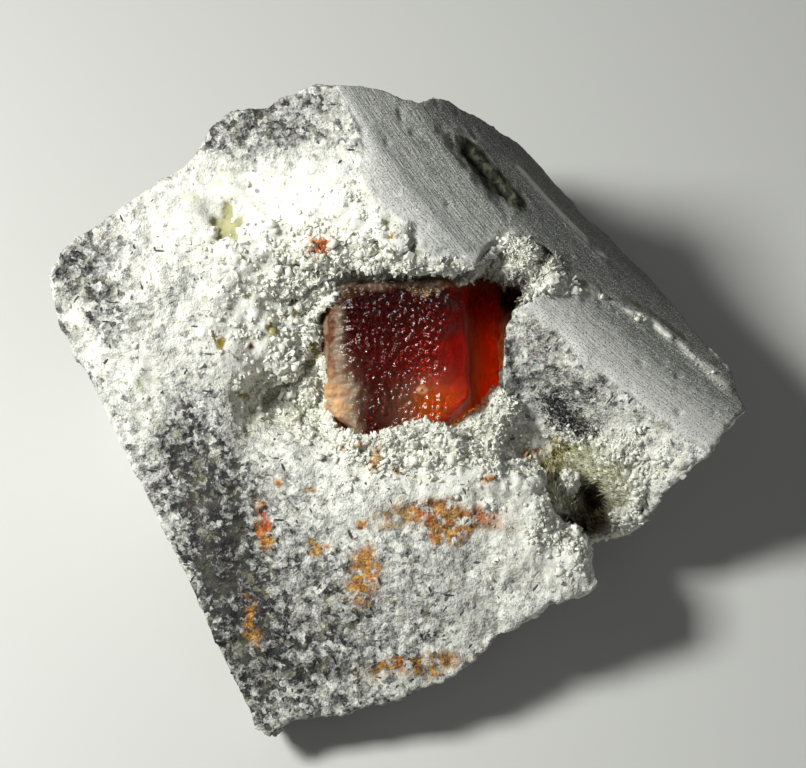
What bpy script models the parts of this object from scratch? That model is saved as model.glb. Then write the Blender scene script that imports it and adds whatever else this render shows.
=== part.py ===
"""A villiaumite specimen: a broken piece of drill core with one dark red crystal in a vug.

The rock is modelled in its own face frame, in millimetres: u runs across the broken front
face, v runs up it and w stands out of it. The whole piece is then leaned back, so that it
lies on the flat face that is cut at its bottom. Blender's metres come in at the very end.
"""

import math

import bmesh
import bpy
from mathutils import Matrix, Vector, noise

# ---------------------------------------------------------------- driving dimensions (mm)
MM = 0.001
GAP = 0.3  # between two solids that touch in the real thing
SEED = 11  # of every irregular shape
WELD = 0.004  # points this close are one
LEAN = math.radians(30)  # how far the front face leans back from facing straight up
FLOOR_DROP = 12.6  # from the frame's origin straight down to the surface it lies on
FLOOR_BLOCK = 120.0

# The front outline, round from the left corner: a straight sawn edge down to the toe,
# the broken lower edge, the drilled side's end, its rim, and the broken upper edge.
OUTLINE = (
    (-20.3, 7.6),
    (-19.6, 4.1),
    (-18.1, 1.6),
    (-8.1, -18.8),
    (-7.2, -19.3),
    (-6.4, -18.3),
    (-3.4, -17.9),
    (0.0, -17.0),
    (3.4, -15.5),
    (5.3, -14.0),
    (8.6, -11.8),
    (11.4, -10.6),
    (11.2, -8.5),
    (14.0, -7.7),
    (15.7, -5.0),
    (18.1, -2.7),
    (20.5, -0.9),
    (19.3, 1.9),
    (17.6, 4.6),
    (15.6, 7.8),
    (10.2, 13.2),
    (7.7, 15.9),
    (4.9, 17.4),
    (2.1, 17.9),
    (1.1, 17.2),
    (-2.0, 18.2),
    (-5.0, 18.3),
    (-7.8, 17.1),
    (-9.7, 16.7),
    (-12.1, 14.0),
    (-15.3, 11.6),
    (-19.0, 9.4),
)
OUTLINE_STEP = 1.0  # between points along it
OUTLINE_TOP = 18.0
SAWN_EDGE = 2  # the outline's point where the sawn edge starts
WALL_TOP = 3.0
WALL_DEPTH = 29.0
WALL_LEVELS = 12
CLEARANCE = 10.0  # that a block cut with another reaches past it
WALL_TAPER = 0.15  # how much narrower the piece is at the wall's full depth
BACK_TAPER = 0.10  # how much more than that the upper side, at the piece's back, gives up
TAPER_CURVE = 1.3  # above 1, the piece narrows faster the deeper it is
RIM_ROUGHNESS = 0.35  # the share of the walls' lumps that shows at their top
ROUGHNESS_RISE = 2.5  # how fast that share grows with depth
# Flat breaks across the walls under the front: a point of each, and the way it faces.
BREAKS = (
    ((-12.1, 14.0, -7.0), (-0.45, 0.75, -0.48)),
    ((10.2, 13.2, -9.5), (0.62, 0.62, -0.48)),
    ((11.4, -10.6, -3.0), (0.50, -0.62, -0.60)),
    ((-19.6, 6.0, -5.0), (-0.86, 0.30, -0.42)),
)
BROKEN_COARSE = (5.0, 0.9)  # size and height of the broken walls' lumps
BROKEN_FINE = (1.7, 0.42)

# The drilled side: its scratches and steps are arcs about one far point, the drill's axis.
ARC_CENTRE = (57.7, 57.1)
ARC_RADIUS = 72.0
RIM_RADIUS = 13.6  # of the side's rounded profile, across the scratches
RIM_START = -6.7  # where that profile would be level
STEEPEST = 0.985  # the sine of the profile's slope where it ends
CREST = 1.5  # height of the profile's level line over the front face
EDGE_WEAR = 0.4  # how much the edge between the two sides is rounded
# Each step or groove across the profile: place, half width, height, and its lowest and
# highest v.
DRILL_STEPS = (
    (0.9, 1.2, -0.22, 8.0, 30.0),
    (3.35, 0.42, -0.9, 11.4, 15.4),
    (3.95, 0.22, 0.18, 11.0, 16.2),
    (5.3, 0.28, 0.25, 7.6, 14.5),
)
STEP_END = 0.5  # over which a step or groove runs out
# The edge under which the drilled side lies a step lower, along a vein of white crystals.
VEIN = ((8.3, 6.9), (11.7, 6.3), (14.9, 4.7), (19.0, 1.2))
VEIN_STEP = 0.6
VEIN_WIDTH = 0.8
FRONT_LINE_STEP = 0.9
DRILLED_LINE_STEP = 0.45
DRILLED_FROM = -3.0
ARC_LINES_END = 8.0
FRONT_LINES_START = -38.5
ALONG_REACH = 27.0

# Broad relief of the front face: centre u and v, radius along u and v, height.
FRONT_RELIEF = (
    (0.8, 11.0, 5.5, 2.3, 0.9),
    (-1.8, 14.0, 4.0, 4.5, 0.2),
    (-0.5, 8.7, 5.5, 1.0, 0.5),
    (7.4, 8.8, 1.9, 1.7, -1.4),
    (-6.4, 4.2, 3.0, 4.0, -2.2),
    (-6.8, -0.2, 2.1, 1.6, -3.2),
    (-1.5, -7.0, 8.0, 5.0, 1.1),
    (-19.0, 2.0, 4.0, 12.0, -1.1),
    (-13.0, -10.0, 2.2, 11.0, -1.0),
    (-13.0, 14.0, 7.0, 4.0, -1.6),
    (-10.2, 10.4, 0.8, 0.8, -1.2),
    (16.0, -5.5, 3.0, 3.0, -1.8),
)
# The block at the right falls from its drilled side to a valley: the height and slope of
# that fall across the scratches, and where up the face and how far across it starts.
FALL_TOP = -0.85
FALL_SLOPE = 0.42
FALL_STARTS = ((-12.0, 14.0), (-8.4, 13.2), (-5.6, 10.6), (-3.6, 9.0), (-2.0, 6.4), (6.0, 6.2))
FALL_WIDTH = 0.8
# The valley between that block and the front's lower half: its course, with the height of
# its floor and its half width at each corner.
VALLEY = (
    (4.4, -1.2, -1.4, 0.9),
    (6.6, -2.2, -2.6, 1.2),
    (9.0, -3.6, -3.4, 1.2),
    (10.6, -5.6, -3.8, 1.6),
    (13.2, -8.4, -4.2, 1.9),
)
FRONT_COARSE = (3.6, 0.42)  # size and height of the front's lumps
FRONT_FINE = (1.5, 0.24)
COARSE_SEED = 1.5
FINE_SEED = 7.5
CRYSTAL_LUMPS = 0.34  # height that white crystals add to its fine lumps
WHITE_REACH = 10.0  # how far around the vug its white crystals cover the rock

# The vug: its mouth's corners about its centre, clockwise from the roof's left end.
VUG_CENTRE = (0.9, 2.6)
VUG_MOUTH = (
    (-4.5, 6.7),
    (-1.4, 7.5),
    (1.9, 7.1),
    (4.4, 7.6),
    (6.2, 8.9),
    (8.2, 8.4),
    (8.9, 7.4),
    (7.7, 6.1),
    (6.7, 4.3),
    (6.55, 0.4),
    (7.3, -2.5),
    (5.4, -3.5),
    (2.4, -2.9),
    (0.0, -2.9),
    (-3.0, -2.8),
    (-5.3, -0.6),
    (-5.5, 4.6),
)
VUG_FLOOR = -11.4
VUG_UNDERCUT = 1.4
VUG_CRUST = 0.8
VUG_THIN_SIDE = (0.98, 0.2)  # the way in which its crust is thinnest
UNDERCUT_FROM = 0.1  # the share of a hollow's depth at which its wall starts to widen

# The nook: a second hollow, at the valley's lower end.
NOOK_CENTRE = (11.3, -5.4)
NOOK_MOUTH = (
    (8.5, -4.3),
    (9.8, -2.9),
    (12.0, -3.1),
    (13.5, -4.6),
    (13.9, -6.4),
    (13.0, -7.4),
    (11.4, -7.5),
    (9.9, -7.1),
    (8.7, -6.1),
)
NOOK_FLOOR = -9.0
NOOK_UNDERCUT = 0.4
NOOK_CRUST = 0.75
NOOK_THIN_SIDE = (0.0, -1.0)
THIN_CRUST = 0.3  # the share of a crust's thickness that is left on its thin side

MOUTH_CRUST = 0.35  # the share of its thickness that a crust has at its mouth
CRUST_BLOCK = 1.3  # size of the blocky steps inside a crust
CRUST_STEP = 0.7  # how far they stand out
BOWL = 3.2  # how late in its depth a hollow's wall closes in on its floor
HOLLOW_TOP = 5.0  # height that a hollow's space is cut up to
RING_POINTS = 40
RING_LEVELS = 9

# The villiaumite cube, turned so that its right face shows.
CRYSTAL_SIZE = (8.4, 8.8, 8.2)
CRYSTAL_CENTRE = (0.85, 2.45, -5.4)
CRYSTAL_TURN = math.radians(-15)
CRYSTAL_ROLL = math.radians(2.5)
# Its worn corners and edges: the way each cut faces, and how deep it goes.
CRYSTAL_CUTS = (
    ((0.62, -0.66, 0.42), 1.4),
    ((-0.70, -0.66, 0.28), 1.3),
    ((-0.72, 0.05, 0.69), 0.75),
    ((0.72, 0.10, 0.69), 0.35),
    ((0.70, 0.60, 0.40), 1.0),
    ((-0.60, 0.70, 0.40), 0.8),
)
CRYSTAL_BEVEL = 0.28

ROCK = ((0.56, 0.57, 0.54, 1.0), 0.85)
CRUST = ((0.86, 0.87, 0.80, 1.0), 0.6)
CRYSTAL = ((0.42, 0.045, 0.015, 1.0), 0.22)


# ---------------------------------------------------------------- relief
def bump(u, v, relief):
    """One broad swelling, or a hollow where its height is negative."""
    centre_u, centre_v, radius_u, radius_v, height = relief
    across = (u - centre_u) / radius_u
    along = (v - centre_v) / radius_v
    return height * math.exp(-across * across - along * along)


def lumps(u, v, size, seed):
    """Rounded lumps of about one size, between -1 and 1."""
    return noise.noise(Vector((u / size, v / size, seed)))


def front_height(u, v):
    """The broken front face's w at one place, lumpier where white crystals cover it."""
    broad = sum(bump(u, v, relief) for relief in FRONT_RELIEF)
    from_vug = math.hypot(u - VUG_CENTRE[0], v - VUG_CENTRE[1])
    crystals = math.exp(-((from_vug / WHITE_REACH) ** 4))
    size, height = FRONT_COARSE
    broad += height * lumps(u, v, size, COARSE_SEED)
    inside = ease((u - height_along(FALL_STARTS, v)) / FALL_WIDTH)
    fall = FALL_TOP + FALL_SLOPE * across_scratches(u, v)
    broad += inside * min(0.0, fall - broad)
    size, height = FRONT_FINE
    broad += (height + CRYSTAL_LUMPS * crystals) * lumps(u, v, size, FINE_SEED)
    return broad - valley_depth(u, v, broad)


def valley_depth(u, v, height):
    """How far a height is lowered by the valley, from the nearest stretch of its course."""
    deepest = 0.0
    for start, end in zip(VALLEY, VALLEY[1:]):
        along = Vector(end[:2]) - Vector(start[:2])
        share = (Vector((u, v)) - Vector(start[:2])).dot(along) / along.length_squared
        share = min(1.0, max(0.0, share))
        nearest = Vector(start).lerp(Vector(end), share)
        away = math.dist((u, v), nearest[:2]) / nearest[3]
        deepest = max(deepest, (height - nearest[2]) * math.exp(-(away**4)))
    return deepest


def across_scratches(u, v):
    """How far a place lies across the drilled side's scratches, rising towards the rim."""
    return ARC_RADIUS - math.hypot(ARC_CENTRE[0] - u, ARC_CENTRE[1] - v)


def drilled_height(u, v):
    """The drilled side's w at one place: a rounded profile with steps and grooves."""
    across = across_scratches(u, v)
    steepness = min(STEEPEST, max(0.0, (across - RIM_START) / RIM_RADIUS))
    profile = CREST - RIM_RADIUS * (1 - math.sqrt(1 - steepness * steepness))
    for place, half_width, height, lowest, highest in DRILL_STEPS:
        ends = ease((v - lowest) / STEP_END) * ease((highest - v) / STEP_END)
        profile += height * ends * math.exp(-(((across - place) / half_width) ** 4))
    return profile - VEIN_STEP * ease((height_along(VEIN, u) - v) / VEIN_WIDTH)


def ease(share):
    """A smooth rise from 0 to 1."""
    share = min(1.0, max(0.0, share))
    return share * share * (3 - 2 * share)


def height_along(line, place):
    """The second number of a line's points, at one place between their first numbers."""
    for start, end in zip(line, line[1:]):
        if place < end[0]:
            share = max(0.0, (place - start[0]) / (end[0] - start[0]))
            return start[1] + (end[1] - start[1]) * share
    return line[-1][1]


def face_height(u, v):
    """The visible side's w: the broken face where it is lower than the drilled one."""
    front, drilled = front_height(u, v), drilled_height(u, v)
    near = max(0.0, EDGE_WEAR - abs(front - drilled)) / EDGE_WEAR
    return min(front, drilled) - near * near * EDGE_WEAR / 4


# ---------------------------------------------------------------- mesh helpers
def new_object(name, mesh_data):
    """A linked object made from a bmesh, with its normals facing out."""
    bmesh.ops.recalc_face_normals(mesh_data, faces=mesh_data.faces)
    mesh = bpy.data.meshes.new(name)
    mesh_data.to_mesh(mesh)
    mesh_data.free()
    made = bpy.data.objects.new(name, mesh)
    bpy.context.collection.objects.link(made)
    return made


def cut_flat(made, point, facing):
    """Takes off what stands beyond a plane, and closes the cut with a flat face."""
    bmesh.ops.bisect_plane(
        made,
        geom=made.verts[:] + made.edges[:] + made.faces[:],
        plane_co=point,
        plane_no=facing,
        clear_outer=True,
    )
    bmesh.ops.holes_fill(made, edges=[edge for edge in made.edges if edge.is_boundary])


def make_guide(guide):
    """Marks a solid that only shapes another one."""
    guide.hide_render = True
    guide.display_type = "WIRE"
    return guide


def combine(target, tool, operation):
    """A Boolean modifier that takes the tool from the target, or keeps what both share."""
    modifier = target.modifiers.new(f"{operation.lower()} {tool.name}", "BOOLEAN")
    modifier.object = tool
    modifier.operation = operation
    modifier.solver = "EXACT"


def bake(target):
    """Turns an object's modifiers into its mesh."""
    graph = bpy.context.evaluated_depsgraph_get()
    mesh = bpy.data.meshes.new_from_object(target.evaluated_get(graph))
    target.modifiers.clear()
    target.data = mesh
    return target


def drop_crumbs(target):
    """Welds what a cut left doubled, and keeps only the largest connected piece."""
    made = bmesh.new()
    made.from_mesh(target.data)
    bmesh.ops.triangulate(made, faces=made.faces)
    bmesh.ops.remove_doubles(made, verts=made.verts, dist=WELD)
    bmesh.ops.dissolve_degenerate(made, edges=made.edges, dist=WELD)
    pieces = []
    unseen = set(made.verts)
    while unseen:
        piece = set()
        front = [unseen.pop()]
        while front:
            vertex = front.pop()
            piece.add(vertex)
            for edge in vertex.link_edges:
                other = edge.other_vert(vertex)
                if other in unseen:
                    unseen.discard(other)
                    front.append(other)
        pieces.append(piece)
    largest = max(pieces, key=len)
    crumbs = [vertex for piece in pieces if piece is not largest for vertex in piece]
    bmesh.ops.delete(made, geom=crumbs, context="VERTS")
    made.to_mesh(target.data)
    made.free()
    return target


def skin_rings(name, rings, tip=None):
    """A closed solid through rings of as many points each, its last end flat or at a tip."""
    made = bmesh.new()
    loops = [[made.verts.new(point) for point in ring] for ring in rings]
    count = len(rings[0])
    for upper, lower in zip(loops, loops[1:]):
        for i in range(count):
            j = (i + 1) % count
            made.faces.new((upper[i], upper[j], lower[j], lower[i]))
    made.faces.new(loops[0])
    if tip is None:
        made.faces.new(loops[-1])
    else:
        end = made.verts.new(tip)
        for i in range(count):
            made.faces.new((loops[-1][i], loops[-1][(i + 1) % count], end))
    return new_object(name, made)


# ---------------------------------------------------------------- the rock
def outline_points():
    """The outline in short steps, each with how rough it is: the sawn edge is smooth."""
    points = []
    for index, start in enumerate(OUTLINE):
        end = OUTLINE[(index + 1) % len(OUTLINE)]
        rough = 0.0 if index == SAWN_EDGE else 1.0
        steps = max(1, round(math.dist(start, end) / OUTLINE_STEP))
        for step in range(steps):
            share = step / steps
            u = start[0] + (end[0] - start[0]) * share
            v = start[1] + (end[1] - start[1]) * share
            points.append((u, v, rough))
    return points


def broken_shift(place, rough):
    """How far the broken wall's lumps push a point sideways, less where it is smooth."""
    shift = Vector()
    for size, height in (BROKEN_COARSE, BROKEN_FINE):
        shift += noise.noise_vector(place / size) * height
    return Vector((shift.x, shift.y, 0)) * rough


def make_wall_block():
    """The outline swept down through the piece, a little narrower with depth."""
    outline = outline_points()
    rings = []
    for level in range(WALL_LEVELS + 1):
        share = level / WALL_LEVELS
        depth = WALL_TOP - (WALL_DEPTH + WALL_TOP) * share
        ring = []
        for u, v, rough in outline:
            back = max(0.0, v / OUTLINE_TOP) * BACK_TAPER
            taper = max(0.0, -depth / WALL_DEPTH) ** TAPER_CURVE
            narrow = 1 - (WALL_TAPER + back) * taper
            place = Vector((u * narrow, v * narrow, depth))
            shown = min(1.0, RIM_ROUGHNESS + ROUGHNESS_RISE * share)
            ring.append(place + broken_shift(place, rough * shown))
        rings.append(ring)
    block = skin_rings("wall_block", rings)
    made = bmesh.new()
    made.from_mesh(block.data)
    for point, facing in BREAKS:
        cut_flat(made, Vector(point), Vector(facing))
    made.to_mesh(block.data)
    made.free()
    return block


def arc_line_places():
    """Where the face block's lines run across the scratches, closer on the drilled side."""
    places = []
    across = FRONT_LINES_START
    while across < ARC_LINES_END:
        places.append(across)
        across += DRILLED_LINE_STEP if across >= DRILLED_FROM else FRONT_LINE_STEP
    return places


def make_face_block():
    """A block whose top is the visible side, on lines that follow the scratches."""
    to_origin = math.atan2(-ARC_CENTRE[1], -ARC_CENTRE[0])
    columns = round(2 * ALONG_REACH / FRONT_LINE_STEP)
    made = bmesh.new()
    top = []
    for across in arc_line_places():
        radius = ARC_RADIUS - across
        row = []
        for column in range(columns + 1):
            along = -ALONG_REACH + column * FRONT_LINE_STEP
            angle = to_origin + along / ARC_RADIUS
            u = ARC_CENTRE[0] + radius * math.cos(angle)
            v = ARC_CENTRE[1] + radius * math.sin(angle)
            row.append(made.verts.new((u, v, face_height(u, v))))
        top.append(row)
    for lower, upper in zip(top, top[1:]):
        for i in range(columns):
            made.faces.new((lower[i], lower[i + 1], upper[i + 1], upper[i]))
    border = [edge for edge in made.edges if edge.is_boundary]
    skirt = bmesh.ops.extrude_edge_only(made, edges=border)["geom"]
    for vertex in (item for item in skirt if isinstance(item, bmesh.types.BMVert)):
        vertex.co.z = -WALL_DEPTH - CLEARANCE
    bmesh.ops.holes_fill(made, edges=[edge for edge in made.edges if edge.is_boundary])
    return new_object("face_block", made)


def make_floor_block():
    """Everything under the surface that the piece lies on."""
    made = bmesh.new()
    bmesh.ops.create_cube(made, size=FLOOR_BLOCK)
    down = Vector((0, -math.sin(LEAN), -math.cos(LEAN)))
    drop = Matrix.Translation(down * (FLOOR_DROP + FLOOR_BLOCK / 2))
    place = drop @ Matrix.Rotation(-LEAN, 4, "X")
    bmesh.ops.transform(made, matrix=place, verts=made.verts)
    return make_guide(new_object("floor_block", made))


# ---------------------------------------------------------------- the hollows
def smooth_ring(corners, count):
    """A closed smooth curve through the corners, as evenly many points."""
    points = []
    for step in range(count):
        place = step * len(corners) / count
        index = int(place)
        share = place - index
        before, start, end, after = (
            Vector(corners[(index + shift) % len(corners)]) for shift in (-1, 0, 1, 2)
        )
        pull = (end - before) / 2
        push = (after - start) / 2
        square, cube = share**2, share**3
        point = (2 * cube - 3 * square + 1) * start + (cube - 2 * square + share) * pull
        point += (3 * square - 2 * cube) * end + (cube - square) * push
        points.append(point)
    return points


def hollow_block(name, centre, mouth, floor, undercut, thin_side, crust, blocky):
    """The space of a hollow, less a crust that thickens below its mouth in blocky steps."""
    middle = Vector(centre)
    rings = []
    for level in range(RING_LEVELS):
        share = level / RING_LEVELS
        depth = HOLLOW_TOP + (floor + crust - HOLLOW_TOP) * share
        below = max(0.0, depth / (floor + crust))
        thickness = max(0.0, crust - GAP) * min(1.0, MOUTH_CRUST + 3 * below)
        bowl = math.sqrt(1 - below**BOWL)
        bulge = undercut * math.sin(math.pi * max(0.0, below - UNDERCUT_FROM))
        ring = []
        for corner in smooth_ring(mouth, RING_POINTS):
            arm = corner - middle
            way = arm.normalized()
            thin = max(0.0, way.dot(Vector(thin_side))) ** 4
            inset = min(crust, GAP) + thickness * (1 - (1 - THIN_CRUST) * thin)
            reach = (arm.length + bulge) * bowl - inset
            at = middle + way * reach
            step = noise.cell(Vector((at.x, at.y, depth)) / CRUST_BLOCK) - 0.5
            at = middle + way * (reach - blocky * abs(step) * (1 - thin))
            ring.append((at.x, at.y, depth))
        rings.append(ring)
    return skin_rings(name, rings, (middle.x, middle.y, floor + crust))


def make_crust(name, hollow, thickness, body, crystal):
    """The crystals that line a hollow: one shell, clear of the rock and of the cube."""
    outer = hollow_block(name, *hollow, GAP, 0.0)
    inner = make_guide(hollow_block(f"{name}_inside", *hollow, GAP + thickness, CRUST_STEP))
    combine(outer, body, "INTERSECT")
    combine(outer, inner, "DIFFERENCE")
    if crystal:
        combine(outer, crystal, "DIFFERENCE")
    return drop_crumbs(bake(outer))


# ---------------------------------------------------------------- the cube
def make_cube(name, grow):
    """The crystal, or the room that it needs where grow is more than nothing."""
    made = bmesh.new()
    bmesh.ops.create_cube(made, size=1)
    size = [side + 2 * grow for side in CRYSTAL_SIZE]
    bmesh.ops.scale(made, vec=size, verts=made.verts)
    for facing, depth in CRYSTAL_CUTS:
        normal = Vector(facing).normalized()
        corner = Vector([math.copysign(side / 2, way) for side, way in zip(size, facing)])
        cut_flat(made, corner - normal * depth, normal)
    turn = Matrix.Rotation(CRYSTAL_ROLL, 4, "Z") @ Matrix.Rotation(CRYSTAL_TURN, 4, "Y")
    place = Matrix.Translation(CRYSTAL_CENTRE) @ turn
    bmesh.ops.transform(made, matrix=place, verts=made.verts)
    return new_object(name, made)


# ---------------------------------------------------------------- the whole piece
def clear_scene():
    for old in list(bpy.data.objects):
        bpy.data.objects.remove(old)


def give_material(piece, name, finish):
    """A plain Principled material with the piece's colour and roughness."""
    colour, roughness = finish
    material = bpy.data.materials.new(name)
    material.use_nodes = True
    shader = material.node_tree.nodes["Principled BSDF"]
    shader.inputs["Base Color"].default_value = colour
    shader.inputs["Roughness"].default_value = roughness
    shader.inputs["Metallic"].default_value = 0.0
    piece.data.materials.clear()
    piece.data.materials.append(material)


def stand_up(pieces):
    """Leans the piece back onto its flat face, in metres, over the middle of its box."""
    lean = Matrix.Scale(MM, 4) @ Matrix.Rotation(LEAN, 4, "X")
    for piece in pieces:
        piece.data.transform(lean)
    corners = [vertex.co for piece in pieces for vertex in piece.data.vertices]
    middle = [(min(c[i] for c in corners) + max(c[i] for c in corners)) / 2 for i in (0, 1)]
    shift = Matrix.Translation((-middle[0], -middle[1], FLOOR_DROP * MM))
    for piece in pieces:
        piece.data.transform(shift)


def main():
    noise.seed_set(SEED)
    clear_scene()
    wall_block = make_wall_block()
    face_block = make_guide(make_face_block())
    floor_block = make_floor_block()
    vug = (VUG_CENTRE, VUG_MOUTH, VUG_FLOOR, VUG_UNDERCUT, VUG_THIN_SIDE)
    nook = (NOOK_CENTRE, NOOK_MOUTH, NOOK_FLOOR, NOOK_UNDERCUT, NOOK_THIN_SIDE)
    vug_space = make_guide(hollow_block("vug_space", *vug, 0.0, 0.0))
    nook_space = make_guide(hollow_block("nook_space", *nook, 0.0, 0.0))
    combine(wall_block, face_block, "INTERSECT")
    body = make_guide(bake(wall_block))
    matrix = bpy.data.objects.new("matrix", body.data.copy())
    bpy.context.collection.objects.link(matrix)
    room = make_guide(make_cube("crystal_room", GAP))
    for tool in (floor_block, vug_space, nook_space, room):
        combine(matrix, tool, "DIFFERENCE")
    drop_crumbs(bake(matrix))
    crystal = make_cube("villiaumite_crystal", 0.0)
    bevel = crystal.modifiers.new("worn edges", "BEVEL")
    bevel.width = CRYSTAL_BEVEL
    bevel.segments = 2
    bake(crystal)
    vug_crust = make_crust("vug_crust", vug, VUG_CRUST, body, room)
    nook_crust = make_crust("nook_crust", nook, NOOK_CRUST, body, None)
    give_material(matrix, "rock", ROCK)
    give_material(vug_crust, "zeolite", CRUST)
    give_material(nook_crust, "zeolite_nook", CRUST)
    give_material(crystal, "villiaumite", CRYSTAL)
    stand_up([matrix, vug_crust, nook_crust, crystal])


main()
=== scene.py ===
"""The looks of the villiaumite specimen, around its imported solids.

Shapes are worked out in the rock's face frame, in millimetres: u across the broken front
face, v up it and w out of it. part.py leans that frame back by 30 degrees.
"""

import math

import bmesh
import bpy
import numpy as np
from mathutils import Matrix, Vector


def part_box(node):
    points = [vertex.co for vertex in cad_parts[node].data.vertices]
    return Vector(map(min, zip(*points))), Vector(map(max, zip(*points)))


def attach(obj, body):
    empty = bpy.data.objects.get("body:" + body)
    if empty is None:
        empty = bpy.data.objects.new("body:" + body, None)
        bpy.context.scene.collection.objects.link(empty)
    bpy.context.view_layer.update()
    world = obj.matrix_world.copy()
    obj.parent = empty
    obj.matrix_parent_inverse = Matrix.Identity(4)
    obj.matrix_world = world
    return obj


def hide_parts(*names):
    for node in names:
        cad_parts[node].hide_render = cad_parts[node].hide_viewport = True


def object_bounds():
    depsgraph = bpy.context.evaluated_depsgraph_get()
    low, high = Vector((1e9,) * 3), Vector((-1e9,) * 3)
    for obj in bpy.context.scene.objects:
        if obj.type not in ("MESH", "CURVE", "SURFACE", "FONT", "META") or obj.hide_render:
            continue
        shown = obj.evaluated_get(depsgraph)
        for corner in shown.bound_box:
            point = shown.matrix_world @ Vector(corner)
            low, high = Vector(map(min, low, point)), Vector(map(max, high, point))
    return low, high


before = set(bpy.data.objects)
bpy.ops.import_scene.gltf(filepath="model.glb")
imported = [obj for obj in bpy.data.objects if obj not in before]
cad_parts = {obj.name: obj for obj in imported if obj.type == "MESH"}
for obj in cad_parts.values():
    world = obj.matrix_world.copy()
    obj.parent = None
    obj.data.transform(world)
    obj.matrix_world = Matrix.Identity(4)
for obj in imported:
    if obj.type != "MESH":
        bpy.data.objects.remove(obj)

cad_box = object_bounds()

MM = 0.001
# Sizes of the rebuilt meshes' faces, and the share of them that the rock's back keeps.
ROCK_VOXEL = 0.175
VUG_VOXEL = 0.16
NOOK_VOXEL = 0.14
CRYSTAL_VOXEL = 0.08
HEAP_VOXEL = 0.1
BACK_KEPT = 0.58
WELD = 0.003  # points nearer than this are joined
BOX_MARGIN = 1e-6  # metres inside the CAD box
LEAN = math.radians(30)
# Where the crystal's box has its middle in the leaned face frame, before the piece is moved.
CRYSTAL_MIDDLE = Vector((0.991, 4.922, -3.614))


# ---------------------------------------------------------------- the face frame
def face_origin():
    """The face frame's origin in the world, found from where the crystal stands."""
    low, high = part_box("villiaumite_crystal")
    return (low + high) / 2 - CRYSTAL_MIDDLE * MM


ORIGIN = face_origin()
LEANED = Matrix.Rotation(LEAN, 4, "X")
FACE_TO_WORLD = Matrix.Translation(ORIGIN) @ LEANED @ Matrix.Scale(MM, 4)
WORLD_TO_FACE = FACE_TO_WORLD.inverted()
UP = np.array((0.0, math.sin(LEAN), math.cos(LEAN)))  # the world's up, in the face frame
FLOOR_DROP = ORIGIN.z / MM

# The drilled side's scratches and steps are arcs about one far point, as in part.py.
ARC_CENTRE = np.array((57.7, 57.1))
ARC_RADIUS = 72.0
RIM_RADIUS = 13.6
RIM_START = -6.7
CREST = 1.5
# Steps and grooves: place, half width, height, lowest and highest v. The second is the slot.
DRILL_STEPS = (
    (0.9, 1.2, -0.22, 8.0, 30.0),
    (3.35, 0.42, -0.9, 11.4, 15.4),
    (3.95, 0.22, 0.18, 11.0, 16.2),
    (5.3, 0.28, 0.25, 7.6, 14.5),
)
STEP_END = 0.5
THIN_LINE = (5.3, 0.14, 0, 8.2, 14.0)
SLOT = 1
VEIN = np.array(((8.3, 6.9), (11.7, 6.3), (14.9, 4.7), (19.0, 1.2)))
VEIN_STEP = 0.6
VEIN_WIDTH = 0.8
STAR = np.array((-9.95, 10.0))
VUG_CENTRE = np.array((0.9, 2.6))
NOOK_CENTRE = np.array((11.3, -5.4))


# ---------------------------------------------------------------- noise on arrays of points
def lattice(cell, seed):
    """A steady random number between 0 and 1 for each whole-number cell."""
    mixed = cell[..., 0] * 374761393 + cell[..., 1] * 668265263 + cell[..., 2] * 1440662683
    mixed = (mixed + seed * 974634777) & 0xFFFFFFFF
    mixed = ((mixed ^ (mixed >> 13)) * 1274126177) & 0xFFFFFFFF
    mixed = ((mixed ^ (mixed >> 16)) * 668265263) & 0xFFFFFFFF
    return ((mixed ^ (mixed >> 15)) & 0xFFFFFF) / 0xFFFFFF


def soft_noise(points, size, seed):
    """Smooth lumps of about one size, between -1 and 1."""
    scaled = points / size
    cell = np.floor(scaled).astype(np.int64)
    share = scaled - cell
    ease = share * share * (3 - 2 * share)
    total = np.zeros(len(points))
    for corner in np.ndindex(2, 2, 2):
        weight = np.prod(np.where(np.array(corner), ease, 1 - ease), axis=1)
        total += weight * lattice(cell + np.array(corner), seed)
    return total * 2 - 1


def fractal(points, size, seed, octaves=3):
    """Lumps of several sizes, each half as big and half as high as the last."""
    return sum(soft_noise(points, size / 2**i, seed + i) / 2**i for i in range(octaves))


def crystal_cells(points, size, seed):
    """The nearest cell's distance, its edge's nearness and three random numbers of its own."""
    scaled = points / size
    home = np.floor(scaled).astype(np.int64)
    nearest = np.full(len(points), 9.0)
    second = np.full(len(points), 9.0)
    own = np.zeros((len(points), 3))
    offset = np.zeros((len(points), 3))
    for step in np.ndindex(3, 3, 3):
        cell = home + np.array(step) - 1
        jitter = np.stack([lattice(cell, seed + i) for i in range(3)], axis=1)
        away = scaled - (cell + jitter)
        distance = np.sqrt((away**2).sum(axis=1))
        closer = distance < nearest
        second = np.where(closer, nearest, np.minimum(second, distance))
        nearest = np.where(closer, distance, nearest)
        own[closer] = jitter[closer]
        offset[closer] = away[closer]
    return nearest, second - nearest, own, offset


def blocks(points, size, seed):
    """Flat-faced crystals of about one size: each cell is a tilted flat step."""
    _, edge, own, offset = crystal_cells(points, size, seed)
    tilt = ((own - 0.5) * offset).sum(axis=1) * 1.6
    return (own[:, 0] - 0.5) * 0.9 + tilt - 0.5 * np.exp(-((edge / 0.12) ** 2))


# ---------------------------------------------------------------- places on the rock
def across_scratches(points):
    """How far each point lies across the drilled side's scratches, towards the rim."""
    return ARC_RADIUS - np.hypot(*(ARC_CENTRE - points[:, :2]).T)


def along_scratches(points):
    """How far each point lies along the scratches."""
    away = points[:, :2] - ARC_CENTRE
    return (np.arctan2(away[:, 1], away[:, 0]) + math.pi * 0.75) * ARC_RADIUS


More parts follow.
